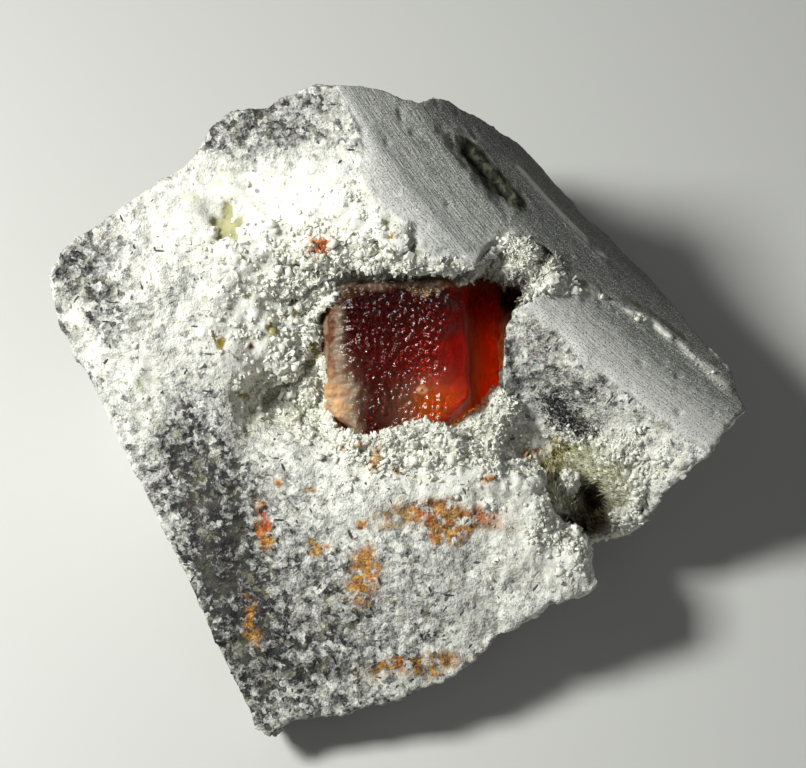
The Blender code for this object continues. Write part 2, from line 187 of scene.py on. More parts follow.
def step_share(points, across, step):
    """How much of one step or groove there is at each point, from 0 to 1."""
    place, half_width, _, lowest, highest = step
    v = points[:, 1]
    ends = ramp((v - lowest) / STEP_END, 0, 1) * ramp((highest - v) / STEP_END, 0, 1)
    return ends * np.exp(-(((across - place) / half_width) ** 4))


def under_vein(points):
    """How far each point lies under the vein, in millimetres."""
    return np.interp(points[:, 0], VEIN[:, 0], VEIN[:, 1]) - points[:, 1]


def drilled_height(points, across):
    """The drilled side's height, as part.py has it."""
    steep = np.clip((across - RIM_START) / RIM_RADIUS, 0, 0.985)
    height = CREST - RIM_RADIUS * (1 - np.sqrt(1 - steep * steep))
    for step in DRILL_STEPS:
        height = height + step[2] * step_share(points, across, step)
    return height - VEIN_STEP * ramp(under_vein(points) / VEIN_WIDTH, 0, 1)


def ramp(value, low, high):
    """0 below low, 1 above high and a smooth rise between."""
    share = np.clip((value - low) / (high - low), 0, 1)
    return share * share * (3 - 2 * share)


def within(value, middle, inner, outer):
    """1 up to inner away from the middle, and 0 past outer."""
    return ramp(-np.abs(value - middle), -outer, -inner)


def unit(values):
    return np.clip(values, 0, 1)


def spot(points, u, v, long, wide, turn=0.0):
    """1 in the middle of an oval on the front face, and 0 well outside it."""
    angle = math.radians(turn)
    away = points[:, :2] - np.array((u, v))
    along = away[:, 0] * math.cos(angle) + away[:, 1] * math.sin(angle)
    side = away[:, 1] * math.cos(angle) - away[:, 0] * math.sin(angle)
    return np.exp(-((along / long) ** 2) - (side / wide) ** 2)


def sum_of_spots(points, spots):
    """Each spot is its middle, its radii, its strength and, where it has one, its turn."""
    return sum(spot(points, *row[:4], *row[5:]) * row[4] for row in spots)


def in_spots(points, spots):
    return unit(sum_of_spots(points, spots))


# ---------------------------------------------------------------- meshes
def into_scene(name, data):
    """A mesh, light or camera as an object in the scene."""
    made = bpy.data.objects.new(name, data)
    bpy.context.scene.collection.objects.link(made)
    return made


def face_copy(node, name):
    """A copy of a CAD node's mesh in the face frame, its faceting welded."""
    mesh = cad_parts[node].data.copy()
    mesh.transform(WORLD_TO_FACE)
    made = bmesh.new()
    made.from_mesh(mesh)
    bmesh.ops.remove_doubles(made, verts=made.verts, dist=WELD)
    made.to_mesh(mesh)
    made.free()
    mesh.materials.clear()
    for attribute in [a.name for a in mesh.attributes if a.name.startswith("custom")]:
        mesh.attributes.remove(mesh.attributes[attribute])
    return into_scene(name, mesh)


def rebuild(piece, voxel, smooth_steps):
    """Even small faces in place of the large ones, softened a little."""
    remesh = piece.modifiers.new("even faces", "REMESH")
    remesh.mode = "VOXEL"
    remesh.voxel_size = voxel
    remesh.use_smooth_shade = True
    soften = piece.modifiers.new("soften", "SMOOTH")
    soften.factor = 0.5
    soften.iterations = smooth_steps
    return bake(piece)


def bake(piece):
    """Turns a piece's modifiers into its mesh."""
    graph = bpy.context.evaluated_depsgraph_get()
    mesh = bpy.data.meshes.new_from_object(piece.evaluated_get(graph))
    piece.modifiers.clear()
    piece.data = mesh
    return piece


def thin_back(piece, keep):
    """Takes faces out of the back and sides, so that the front keeps its fine ones."""
    group = piece.vertex_groups.new(name="back")
    back = ramp(-points_of(piece)[:, 2], 4.5, 7.0)
    for level in (0.25, 0.5, 0.75, 1.0):
        chosen = np.flatnonzero((back > level - 0.25) & (back <= level))
        group.add(chosen.tolist(), level, "REPLACE")
    thin = piece.modifiers.new("thin back", "DECIMATE")
    thin.ratio = keep
    thin.vertex_group = group.name
    bake(piece)
    piece.vertex_groups.clear()


def points_of(piece):
    flat = np.empty(len(piece.data.vertices) * 3)
    piece.data.vertices.foreach_get("co", flat)
    return flat.reshape(-1, 3)


def normals_of(piece):
    flat = np.empty(len(piece.data.vertices) * 3, np.float32)
    piece.data.vertex_normals.foreach_get("vector", flat)
    return flat.reshape(-1, 3).astype(float)


def put_points(piece, points):
    piece.data.vertices.foreach_set("co", points.astype(np.float32).ravel())
    piece.data.update()


def put_masks(piece, **masks):
    """Named numbers for each point, which the materials read."""
    for name, values in masks.items():
        layer = piece.data.attributes.new(name, "FLOAT", "POINT")
        layer.data.foreach_set("value", values.astype(np.float32))


def put_place(piece, points):
    """The face frame's millimetres, which the materials' patterns are laid out in."""
    layer = piece.data.attributes.new("place", "FLOAT_VECTOR", "POINT")
    layer.data.foreach_set("vector", points.astype(np.float32).ravel())


def dress(piece, material, replaced=None):
    piece.data.materials.clear()
    piece.data.materials.append(material)
    piece.data.transform(FACE_TO_WORLD)
    low, high = (np.array(corner) for corner in cad_box)
    put_points(piece, np.clip(points_of(piece), low + BOX_MARGIN, high - BOX_MARGIN))
    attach(piece, "root")
    if replaced:
        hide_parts(replaced)


# ---------------------------------------------------------------- where the rock is what
# Ovals on the front face: middle, radii, strength, and a turn in degrees where there is one.
WHITE_SPOTS = (
    (-8.2, 10.8, 7.0, 3.4, 1.0, 4),
    (-7.0, 4.5, 4.5, 5.0, 1.0),
    (-14.0, 1.0, 3.6, 6.0, 0.45, 10),
    (0.5, 9.2, 6.5, 2.2, 0.5),
    (7.2, 7.6, 1.9, 1.3, 1.6, -45),
    (9.2, 6.7, 1.9, 0.7, 1.3, -12),
    (1.0, -3.5, 7.0, 2.4, 0.45),
    (6.0, -8.5, 5.0, 4.5, 0.4, -20),
    (8.5, -5.0, 3.0, 5.0, 0.55),
    (-14.6, 1.6, 0.7, 1.8, 0.6, 12),
    (-18.8, 4.9, 0.6, 2.2, 1.2, 28),
    (11.0, -8.0, 2.0, 2.4, 0.6),
)
# Where the grain is lower: middle, radii and share.
CALM_SPOTS = (
    (-9.5, 11.5, 6.5, 2.6, 0.65),
    (-2.0, 12.5, 3.0, 3.5, 0.5),
    (-7.5, 3.5, 4.5, 4.5, 0.35),
)
# Where the white crust is round lumps.
BLOB_SPOTS = (
    (0.8, 8.8, 5.0, 1.7, 1.2),
    (-6.2, 4.6, 2.2, 2.6, 0.7),
    (7.4, 7.4, 2.0, 1.2, 0.9, -40),
)
# Where no small crystals grow: the star shaped pit and the small hollow beside the crystal.
BARE_SPOTS = (
    (-9.9, 10.2, 0.9, 1.1, 0.3),
    (-6.6, -0.2, 2.2, 1.5, 0.8),
)
# Crevices between the small crystals, sunk and painted dark as shade.
CREVICES = (
    (5.1, 8.0, 1.3, 0.32, 1.3, 56),
    (-4.9, 7.2, 1.9, 0.28, 1.3, -20),
    (-6.1, 5.6, 0.7, 0.22, 1.2, 5),
    (-3.4, 6.5, 0.9, 0.22, 1.1, -8),
    (1.4, 7.2, 2.6, 0.16, 0.7, 4),
    (-1.6, 9.0, 0.6, 0.15, 0.9, -50),
    (0.6, 8.6, 0.5, 0.15, 0.8, 60),
)
# Olive shade under the small hollow's edge.
SHADE_SPOTS = (
    (-6.8, 0.9, 0.9, 0.22, 1.0, 4),
    (-5.7, -0.5, 0.3, 1.0, 1.0, 12),
    (-8.6, -1.2, 0.25, 0.8, 0.8, -14),
    (-7.6, 0.2, 0.25, 0.7, 0.7, -35),
)
# Greyer, darker rock; on the lower left this is partly painted shade, where the light falls off.
GREY_SPOTS = (
    (-18.4, 6.6, 2.2, 3.2, 0.55, 20),
    (-8.6, 16.2, 4.6, 2.0, 0.48, 12),
    (-10.4, -7.5, 2.2, 7.0, 1.35, 14),
    (-6.0, -14.3, 4.6, 4.2, 0.55, 25),
)
STAIN_SPOTS = (
    (2.3, -6.6, 3.3, 0.8, 1.0, -4),
    (2.4, -7.8, 1.0, 0.7, 0.8),
    (-2.0, -10.1, 0.9, 1.6, 1.0, -12),
    (-7.7, -7.4, 0.45, 1.5, 0.95),
    (-8.5, -12.7, 0.5, 1.3, 0.9, 8),
    (0.7, -15.2, 2.8, 0.6, 0.9, 6),
    (-5.0, -8.5, 0.4, 0.4, 0.7),
    (-4.5, 9.0, 0.45, 0.5, 1.3),
    (-0.5, 9.4, 0.35, 0.3, 0.8),
    (-8.7, 3.3, 0.4, 0.35, 0.7),
    (-10.0, 3.4, 0.3, 0.3, 0.6),
    (7.8, -3.0, 0.6, 0.3, 0.7),
    (-5.3, -5.3, 0.35, 0.3, 0.7),
    (-1.2, -3.2, 0.5, 0.3, 0.6),
    (-0.1, -4.3, 0.4, 0.35, 0.6),
    (-4.6, -8.4, 0.5, 0.4, 0.5),
    (-6.8, -4.6, 0.35, 0.25, 0.8),
    (-3.3, -2.9, 0.3, 0.25, 0.8),
    (-2.2, -2.5, 0.3, 0.2, 0.7),
    (-1.4, -3.7, 0.35, 0.25, 0.8),
    (5.2, -4.5, 0.4, 0.3, 0.8),
    (-2.2, -7.0, 0.35, 0.3, 0.8),
)
RED_SPOTS = (
    (5.2, -6.2, 0.9, 0.6, 1.0),
    (-7.7, -6.7, 0.4, 0.7, 1.0),
    (-4.5, 9.0, 0.5, 0.5, 0.6),
    (1.6, -7.0, 0.6, 0.4, 0.6),
)
# Where the larger crystals stand: on the lip, at the vug's rim and by the nook.
LIP_SPOTS = (
    (1.0, 8.4, 6.5, 1.0, 1.0),
    (0.0, -2.9, 5.0, 0.6, 0.35),
    (-6.0, 3.0, 1.2, 4.0, 0.6),
    (10.8, -8.0, 1.4, 1.2, 0.5),
    (7.4, 7.7, 2.1, 1.4, 2.8, -45),
    (9.2, 6.7, 1.5, 0.4, 1.0, -12),
)
# Yellow green stains beside the nook, left of the vug and along the lip.
MOSS_SPOTS = (
    (9.7, -2.9, 0.9, 0.7, 1.1),
    (8.8, -3.9, 0.8, 0.4, 1.0, -10),
    (8.6, -4.9, 0.3, 0.7, 0.9),
    (10.6, -5.8, 0.9, 0.4, 0.7),
    (-5.2, 2.9, 0.25, 0.6, 1.1),
    (-10.1, 3.3, 0.3, 0.25, 1.1),
    (-7.5, 4.3, 0.35, 0.25, 1.0),
    (-6.0, 5.3, 0.4, 0.3, 0.7),
    (-9.1, 0.6, 0.3, 0.25, 1.0),
    (-0.7, 9.4, 0.4, 0.25, 0.7),
    (-2.4, 6.9, 1.6, 0.2, 0.5, -8),
)
# Black specks are thick on these ovals.
SPECK_SPOTS = (
    (9.1, -0.4, 1.0, 1.6, 1.0, 20),
    (10.6, -1.6, 1.3, 0.8, 1.0, -20),
    (11.2, 0.5, 0.5, 0.5, 0.9),
    (9.5, -0.5, 2.4, 1.8, 0.4, -40),
    (8.0, 3.4, 1.5, 2.2, 0.45),
    (-2.0, -12.5, 4.5, 3.0, 0.3),
    (-10.5, -8.0, 2.4, 8.0, 0.5, 12),
    (-6.8, 0.2, 1.9, 1.2, 1.0),
    (0.6, 9.6, 3.0, 0.5, 0.5),
)


def bend(points, amount, seed):
    """The points moved about a little, so that what is laid out on them gets ragged edges."""
    away = [
        soft_noise(points, 0.9, seed + i) + 0.5 * soft_noise(points, 0.4, seed + 5 + i)
        for i in range(2)
    ]
    moved = points.copy()
    moved[:, :2] += amount * np.stack(away, axis=1)
    return moved


def rock_places(points, normals):
    """What kind of surface each point of the rock is, as numbers from 0 to 1."""
    across = across_scratches(points)
    facing = ramp(normals[:, 2], 0.05, 0.4)
    above = points[:, 2] - drilled_height(points, across)
    wavering = across + 0.9 * fractal(points, 1.6, 62)
    drilled = facing * within(above, 0, 0.2, 0.36) * ramp(wavering, -3.7, -1.5)
    drilled = np.maximum(drilled, 1.4 * step_share(points, across, DRILL_STEPS[SLOT]))
    drilled = unit(np.maximum(drilled, ramp(across, 1.6, 2.4) * facing))
    broken = 1.3 * spot(points, 7.2, 7.6, 1.9, 1.2, -45) + spot(points, 9.2, 6.7, 1.7, 0.5, -12)
    drilled *= 1 - unit(broken + 0.3 * fractal(points, 0.8, 63) * (broken > 0.1))
    drilled = np.maximum(drilled, ramp(across, 4.6, 5.2) * ramp(normals[:, 2], -0.2, 0.1))
    level = points @ UP + FLOOR_DROP
    return {
        "across": across,
        "facing": facing,
        "drilled": drilled,
        "front": facing * (1 - drilled),
        "base": ramp(-level, -0.12, -0.02),
        "sawn": ramp(-normals[:, 0], 0.72, 0.86) * (1 - facing) * ramp(-points[:, 0], 6, 8),
    }


def vug_nearness(points):
    """1 at the vug and falling away from it over several millimetres."""
    return np.exp(-((np.hypot(*(points[:, :2] - VUG_CENTRE - (-0.5, 0)).T) / 8.5) ** 4))


def rock_whiteness(points, places):
    white = sum_of_spots(points, WHITE_SPOTS) + 0.35 * vug_nearness(points)
    white -= sum_of_spots(points, GREY_SPOTS)
    white += 0.16 * fractal(points, 2.2, 41) + 0.06
    # The block right of the vug is rock and not white crystal.
    white -= 0.7 * spot(points, 8.6, 1.6, 2.4, 3.6, -35)
    white += 0.6 * spot(points, 14.5, -3.6, 3.6, 2.4, -20)
    return unit(white) * (1 - places["drilled"])


def shade_share(points):
    return in_spots(bend(points, 0.2, 65), SHADE_SPOTS)


def front_lift(points, places, white):
    """The broken face's grain, and its crust where it is white."""
    rough = 1 - np.maximum.reduce([places["drilled"], places["base"], places["sawn"]])
    grain = 0.18 * fractal(points, 1.3, 42, 4)
    grain += 0.12 * blocks(points, 0.6, 44)
    crust = 0.28 * fractal(points, 1.1, 52, 3) + 0.14 * blocks(points, 0.85, 45)
    crust += 0.07 * blocks(points, 0.42, 46)
    lift = rough * (grain * (1 - 0.5 * white) + crust * white)
    for *oval, share in CALM_SPOTS:
        lift *= 1 - share * spot(points, *oval)
    return lift


def drilled_lift(points, across, along, vein):
    """The drilled side's scratches, chips and vein."""
    lanes = np.stack([across, along * 0.04, 0 * along], axis=1)
    scratches = 0.010 * soft_noise(lanes, 0.3, 47) + 0.02 * soft_noise(lanes, 0.9, 48)
    chips = -0.09 * ramp(soft_noise(points, 0.7, 49), 0.55, 0.9)
    chips -= 0.10 * ramp(across, -1.5, -3.4) * ramp(fractal(points, 0.8, 53), 0.1, 0.6)
    chips += vein * (0.05 + 0.2 * fractal(points, 0.45, 54))
    return scratches + chips


def build_rock():
    piece = rebuild(face_copy("matrix", "rock"), ROCK_VOXEL, 3)
    thin_back(piece, BACK_KEPT)
    points, normals = points_of(piece), normals_of(piece)
    places = rock_places(points, normals)
    across, drilled = places["across"], places["drilled"]
    along = along_scratches(points)
    white = rock_whiteness(points, places)
    nearest = crystal_cells(bend(points, 0.12, 64), 0.95, 56)[0]
    crevices = in_spots(bend(points, 0.25, 59), CREVICES) * places["facing"]
    blobs = in_spots(points, BLOB_SPOTS) * places["front"] * (1 - crevices)
    star = star_share(points)
    vein = vein_share(points) * drilled
    lift = front_lift(points, places, white)
    lift = lift * (1 - 0.6 * blobs) + 0.9 * blobs * np.clip(0.6 - nearest**2, -0.1, 1)
    lift -= 0.35 * shade_share(points)
    lift -= 0.2 * star
    lift -= 0.8 * crevices
    lift += drilled * drilled_lift(points, across, along, vein)
    lift += places["sawn"] * 0.02 * soft_noise(points, 0.5, 50)
    lift *= 1 - places["base"]
    points = points + normals * lift[:, None]
    points = clear_crystal(close_gap(tear_slot(points, across)))
    put_points(piece, points)
    put_masks(
        piece,
        white=white,
        drilled=drilled,
        across=across,
        along=along,
        crevice=crevices,
        star=star,
        # painted shade in the gaps between the crust's round lumps
        gap=blobs * ramp(nearest, 0.5, 0.8),
        # low: painted shade where the surface is sunk
        low=unit(-lift * 4) * (1 - drilled),
        # lower: where painted light brightens the block under the vein
        lower=ramp(under_vein(points), 0.3, 1.0) * ramp(-across, -3.0, -0.8),
        shade=shade_share(points),
        # painted shadow in the hollows
        gloom=gloom_below(points),
        grey=in_spots(points, GREY_SPOTS),
        bare=in_spots(points, BARE_SPOTS),
        specks=sum_of_spots(points, SPECK_SPOTS) * places["front"],
    )
    put_line_masks(piece, points, across, drilled, vein)
    put_stains(piece, points, places["front"])
    put_place(piece, points)
    return piece, points, places, white


def put_line_masks(piece, points, across, drilled, vein):
    """The drilled side's pale lines, and its slot and a line beside the vein painted dark as
    shade, all with ragged edges.
    """
    ragged = 0.5 + 1.1 * fractal(points, 0.9, 51)
    lines = 0.6 * step_share(points, across, DRILL_STEPS[2])
    lines += 1.7 * step_share(points, across, THIN_LINE)
    reach = 0.9 * np.sqrt(unit(1 - ((points[:, 1] - 13.2) / 2.3) ** 2))
    groove = ramp(reach - np.abs(across - 3.5 - 0.25 * ragged), 0.0, 0.45)
    groove = groove * ramp(-across, -4.35, -4.05)
    # A painted shadow line beside the vein.
    beside = np.exp(-(((under_vein(points) + 0.35) / 0.22) ** 2)) * ramp(points[:, 0], 9.0, 11.0)
    pale = unit(drilled * lines * ragged + vein * 1.2 * ragged)
    slot = unit(groove + 0.45 * beside * drilled * ragged)
    put_masks(piece, pale=pale, slot=slot)


def star_share(points):
    """1 inside the star shaped pit, whose upper arm is the longest."""
    away = points[:, :2] - STAR
    angle = np.arctan2(away[:, 1], away[:, 0]) - math.pi / 2
    reach = 0.82 + 0.26 * np.cos(5 * angle) + 0.4 * np.exp(-((angle / 0.4) ** 2))
    return ramp(reach - np.hypot(*away.T), 0.0, 0.16) * ramp(points[:, 2], -3.0, -2.0)


def tear_slot(points, across):
    """Makes the slot's edges ragged."""
    near = within(across, 3.4, 0.5, 1.2) * within(points[:, 1], 13.4, 2.2, 2.9)
    towards = ARC_CENTRE - points[:, :2]
    towards /= np.linalg.norm(towards, axis=1)[:, None]
    moved = points.copy()
    moved[:, :2] += towards * (near * 0.13 * fractal(points, 0.6, 57, 3))[:, None]
    deeper = 0.2 * near * within(across, 2.85, 0.1, 0.5)
    moved[:, 2] -= deeper * (0.6 + soft_noise(points, 0.6, 58))
    return moved


def close_gap(points):
    """Brings the block right of the vug up to the crystal's side."""
    u, v, w = points.T
    near = np.exp(-(((u - 6.9) / 0.9) ** 2)) * ramp(w, -8.0, -5.0)
    near *= ramp(v, -2.2, -0.6) * ramp(-v, -6.0, -4.9)
    moved = points.copy()
    moved[:, 0] -= 0.8 * near
    return moved


def clear_crystal(points):
    """Lifts the lip off the crystal's top edge, and lowers the wall on its left."""
    w = points[:, 2]
    shallow = ramp(w, -4.5, -2.0)
    moved = points.copy()
    moved[:, 1] += 0.55 * shallow * spot(points, -2.2, 5.6, 2.5, 1.1)
    moved[:, 0] -= 0.45 * shallow * spot(points, -4.1, 4.4, 0.9, 1.4)
    corner = spot(points, -4.2, -0.9, 1.0, 1.3)
    moved[:, 0] -= 0.35 * corner * shallow
    moved[:, 1] -= 0.2 * corner * shallow
    moved[:, 2] -= 1.3 * corner * ramp(w, -4.0, -1.5)
    moved[:, 2] -= 1.2 * spot(points, -4.9, 2.4, 1.3, 3.0) * ramp(w, -4.7, -2.3)
    return moved


def vein_share(points):
    """1 along the white vein between the drilled side's two levels."""
    u = points[:, 0]
    width = 0.24 + 0.16 * soft_noise(points, 1.1, 55)
    near = np.exp(-(((under_vein(points) - 0.3) / width) ** 4))
    strong = ramp(u, 10.6, 12.0) * ramp(-u, -18.5, -15.5)
    return near * (0.25 * ramp(u, 7.6, 8.6) + 0.75 * strong)


def put_stains(piece, points, share=1.0):
    bent = bend(points, 0.45, 37)
    stain = np.clip(sum_of_spots(bent, STAIN_SPOTS), 0, 1.3) * share
    put_masks(piece, stain=stain, red=in_spots(bent, RED_SPOTS), moss=in_spots(bent, MOSS_SPOTS))


# Painted shadow inside the hollows: right above the crystal and the nook's bottom.
GLOOM_SPOTS = (
    (6.5, 5.9, 1.2, 1.0, 1.3),
    (0.4, 6.85, 5.6, 0.5, 1.0, 1),
    (11.3, -6.6, 1.2, 0.9, 1.5, -10),
    (9.9, -6.9, 1.2, 0.5, 0.9, -20),
    (11.0, -7.6, 1.0, 0.5, 0.9, 10),
)


def gloom_share(points):
    return in_spots(points, GLOOM_SPOTS)


def gloom_below(points):
    """The painted shadow, kept off what stands up at the front."""
    return gloom_share(points) * ramp(-points[:, 2], 1.0, 1.8)


def build_lining(node, name, centre, voxel, seed, size):
    """A hollow's white crust, its inside face broken into small blocky crystals.

    Its outside is let into the rock, and its rim is level with the rock around it.
    """
    piece = rebuild(face_copy(node, name), voxel, 1)
    points, normals = points_of(piece), normals_of(piece)
    inward = facing_middle(points, normals, centre)
    outside = ramp(-inward, 0.2, 0.6) * ramp(-normals[:, 2], -0.5, -0.1)
    rim = ramp(normals[:, 2], 0.35, 0.7) * ramp(points[:, 2], -6.5, -4.5)
    rough = 0.2 * blocks(points, size, seed) + 0.11 * blocks(points, size / 2, seed + 3)
    rough += 0.14 * fractal(points, 1.4, seed + 6)
    lift = 0.14 * (1 - rim) + rough * (1 - outside)
    lift = lift * (1 - outside) + 0.34 * outside
    points = points + normals * lift[:, None]
    settle_rim(points, inward, centre)
    points = clear_crystal(points)
    put_points(piece, points)
    put_masks(
        piece,
        bare=in_spots(points, BARE_SPOTS),
        # painted shadow in the hollows
        gloom=gloom_share(points),
        # low: painted shade where the crust is sunk
        low=unit(0.3 - lift * 1.6),
        deep=ramp(-points[:, 2], 3.0, 6.0),
        shade=shade_share(points),
    )
    put_stains(piece, points)
    put_place(piece, points)
    return piece, points, normals


def settle_rim(points, inward, centre):
    """Moves a lining's rim in place. u, v and w are views, so they follow the points."""
    u, v, w = points.T
    # The rim's outer edge dives under the rock, and no dark line shows between them.
    outer = ramp(-inward, -0.35, 0.4) * ramp(w, -9.0, -7.0)
    outward = points[:, :2] - centre
    outward /= np.linalg.norm(outward, axis=1)[:, None]
    points[:, :2] += 0.4 * outer[:, None] * outward
    w -= 0.3 * outer * ramp(w, -6.0, -3.5)
    # The rim is lower beside the crystal's right side and in the small hollow.
    low = ramp(u, 5.2, 5.9) * within(v, 2.2, 2.8, 3.6)
    low = unit(low + 1.3 * spot(points, -5.4, -0.1, 1.0, 1.2))
    w -= low * np.clip(w + 3.9, 0, None) * 0.85
    # Under the lip it is a dark ledge.
    under_lip = ramp(v, 5.2, 5.9) * within(u, 1.0, 5.2, 6.4)
    under_lip *= ramp(u, -4.3, -2.6)
    under_lip = np.maximum(under_lip, spot(points, 8.9, 8.6, 1.7, 1.5))
    w -= 1.3 * under_lip * ramp(w, -5.0, -2.5)


def facing_middle(points, normals, centre):
    """1 where a point faces its hollow's middle, and -1 where it faces away."""
    inward = np.zeros_like(points)
    inward[:, :2] = centre - points[:, :2]
    inward /= np.linalg.norm(inward, axis=1)[:, None] + 1e-9
    return (normals * inward).sum(axis=1)


# ---------------------------------------------------------------- the crystal
PALE_RING = (1.26, 0.57)  # where a small pale ring lies on the crystal's face


def build_crystal():
    piece = rebuild(face_copy("villiaumite_crystal", "villiaumite"), CRYSTAL_VOXEL, 4)
    points, normals = points_of(piece), normals_of(piece)
    front = ramp(normals[:, 2], 0.35, 0.7)
    wander = 0.6 * soft_noise(points, 1.6, 31)
    etched = front * (1 - ramp(points[:, 0] + wander, 2.0, 3.4))
    etched *= 1 - 0.9 * spot(points, 2.0, 0.6, 1.1, 0.8)
    nearest, _, own, _ = crystal_cells(points * (1, 1, 0.2), 0.36, 33)
    cobbles = np.clip(0.45 - nearest**2, 0, 1) * (0.26 + 0.20 * own[:, 0])
    cobbles *= 1 - 0.4 * spot(points, 1.8, -0.4, 2.2, 1.5)
    lift = etched * cobbles + 0.06 * fractal(points, 1.4, 35, 3)
    lift += 0.012 * soft_noise(points, 0.3, 38)
    dents = spot(points, -2.4, 3.6, 0.8, 0.5, 20) + spot(points, -2.0, 1.7, 0.6, 0.5)
    lift -= 0.16 * front * dents
    points = points + normals * lift[:, None]
    tilt_sides(points, wander)
    put_points(piece, points)
    put_crystal_masks(piece, points, etched)
    put_place(piece, points)
    return piece


def tilt_sides(points, wander):
    """Moves the crystal's sides in place. u, v and w are views, so they follow the points.

    The left side is raised and its edge a wide dull bevel. The right side slopes away.
    """
    u, v, w = points.T
    raised = ramp(w, -6.5, -4.0)
    w += 0.9 * raised * ramp(-u, -1.0, 4.0)
    bevel = ramp(-u, 2.5, 3.5) * raised
    u -= 0.45 * bevel
    w -= 0.35 * bevel
    w -= 0.24 * np.clip(u + 0.2 * wander - 2.3, 0, None) * raised
    u += 0.3 * ramp(u, 4.6, 5.8)
    w -= 0.9 * (ramp(u - v, 4.6, 7.0) * ramp(w, -6.0, -3.0))


def put_crystal_masks(piece, points, etched):
    """Where the crystal is dull or pale, where it is deeper red, and where a glow and a shadow
    are painted on it.
    """
    bent = bend(points, 0.22, 36)
    edge = 3.7 - 0.9 * ramp(-bent[:, 1], -3.5, 1.0)
    left = ramp(-bent[:, 0] - edge, -0.7, 0.7)
    corner = 0.9 * spot(bent, -4.0, -0.9, 1.1, 1.9, -15)
    ring = spot(points, *PALE_RING, 0.24, 0.24) - spot(points, *PALE_RING, 0.1, 0.1)
    # The top edge under the lip is made dull and dark brown, as painted shade.
    top = 0.5 * ramp(bent[:, 1], 6.2, 6.8)
    # A painted glow of light coming through: at the lower middle and the right edge.
    glow = spot(points, 2.0, -0.3, 2.5, 1.7, 8) ** 1.5 + 0.8 * spot(points, 5.6, 1.4, 1.0, 2.2)
    lower = left * ramp(-bent[:, 1], -3.4, 0.4)
    # Painted shadow along the crystal's top, under the lip.
    gloom = 0.5 * spot(points, -1.0, 5.0, 4.2, 1.6, -10) + 0.7 * ramp(points[:, 1], 5.0, 6.4)
    put_masks(
        piece,
        matte=unit(left + corner + top + 2 * ring),
        right=ramp(points[:, 0], 1.8, 3.3),
        corner=unit(corner + 0.35 * lower + 2 * ring),
        glow=unit(1.2 * glow),
        gloom=unit(gloom),
        etched=etched,
    )


# ---------------------------------------------------------------- small white crystals
# The white crystals heaped at the vug's edge, right and left: middles and radii of the lumps.
HEAP = (
    ((4.7, -1.8, -3.0), (1.7, 1.4, 1.7)),
    ((5.95, -0.75, -3.2), (1.25, 1.35, 1.7)),
    ((3.2, -2.1, -2.4), (1.1, 0.8, 1.2)),
    ((6.5, 7.5, -2.7), (1.7, 0.8, 1.4)),
    ((8.0, 6.7, -3.0), (1.2, 0.75, 1.3)),
    ((6.9, 8.6, -2.3), (1.2, 0.6, 1.1)),
    ((8.7, 7.4, -3.0), (0.7, 0.9, 1.3)),
    ((-5.35, 3.8, -3.3), (0.85, 1.5, 1.2)),
    ((-5.2, 1.3, -3.6), (0.8, 1.5, 1.1)),
    ((-5.1, -1.5, -3.4), (0.7, 0.8, 1.1)),
    ((-5.5, 5.6, -3.3), (1.0, 0.9, 1.0)),
)
# The same for the lumps which break up the nook's rim.
NOOK_HEAP = (
    ((13.9, -4.9, -3.6), (0.8, 1.4, 1.3)),
    ((12.6, -3.1, -3.2), (1.5, 0.7, 1.1)),
    ((9.7, -4.7, -3.7), (0.65, 0.9, 1.3)),
    ((13.2, -6.9, -4.2), (1.1, 0.6, 1.2)),
)


def build_heap(name, lumps):
    """Lumps of white crystals which stand in a hollow's edge."""
    made = bmesh.new()
    for middle, radii in lumps:
        place = Matrix.Translation(middle) @ Matrix.Diagonal((*radii, 1.0))
        bmesh.ops.create_icosphere(made, subdivisions=5, radius=1, matrix=place)
    mesh = bpy.data.meshes.new(name)
    made.to_mesh(mesh)
    made.free()
    piece = rebuild(into_scene(name, mesh), HEAP_VOXEL, 2)
    points, normals = points_of(piece), normals_of(piece)
    lift = 0.16 * fractal(points, 0.9, 90) + 0.14 * blocks(points, 0.5, 91)
    points = points + normals * lift[:, None]
    put_points(piece, points)
    none = 0 * lift
    # low: painted shade where the lumps are sunk.
    put_masks(piece, low=unit(0.2 - lift * 2), deep=0.4 + none, bare=none, gloom=none, shade=none)
    put_stains(piece, points)
    put_place(piece, points)
    return piece, normals


ROUNDED_SHARE = 0.6  # of the small crystals look worn, and the others have sharp edges
TIP_SHIFT = 0.3  # how far a block's tip stands to one side, as a share of its half width
BLOCK = np.array([(x, y, z) for z in (-0.5, 0.8) for y in (-1, 1) for x in (-1, 1)], float)
BLOCK_SIDES = np.array(
    ((0, 2, 3, 1), (4, 5, 7, 6), (0, 1, 5, 4), (1, 3, 7, 5), (3, 2, 6, 7), (2, 0, 4, 6))
)


def pick_places(piece, chance, count, random):
    """Places spread over a piece's faces, more of them where chance is high."""
    mesh = piece.data
    mesh.calc_loop_triangles()
    corners = np.empty(len(mesh.loop_triangles) * 3, np.int32)
    mesh.loop_triangles.foreach_get("vertices", corners)
    corners = corners.reshape(-1, 3)
    points = points_of(piece)
    a, b, c = (points[corners[:, i]] for i in range(3))
    cross = np.cross(b - a, c - a)
    area = np.linalg.norm(cross, axis=1) / 2
    weight = area * chance[corners].mean(axis=1)
    if weight.sum() <= 0:
        raise ValueError("nowhere to put the small crystals")
    chosen = random.choice(len(corners), count, p=weight / weight.sum())
    share = random.random((count, 2))
    flip = share.sum(axis=1) > 1
    share[flip] = 1 - share[flip]
    spread = a[chosen] + share[:, :1] * (b - a)[chosen] + share[:, 1:] * (c - a)[chosen]
    normal = cross[chosen] / (2 * area[chosen][:, None] + 1e-12)
    return spread, normal


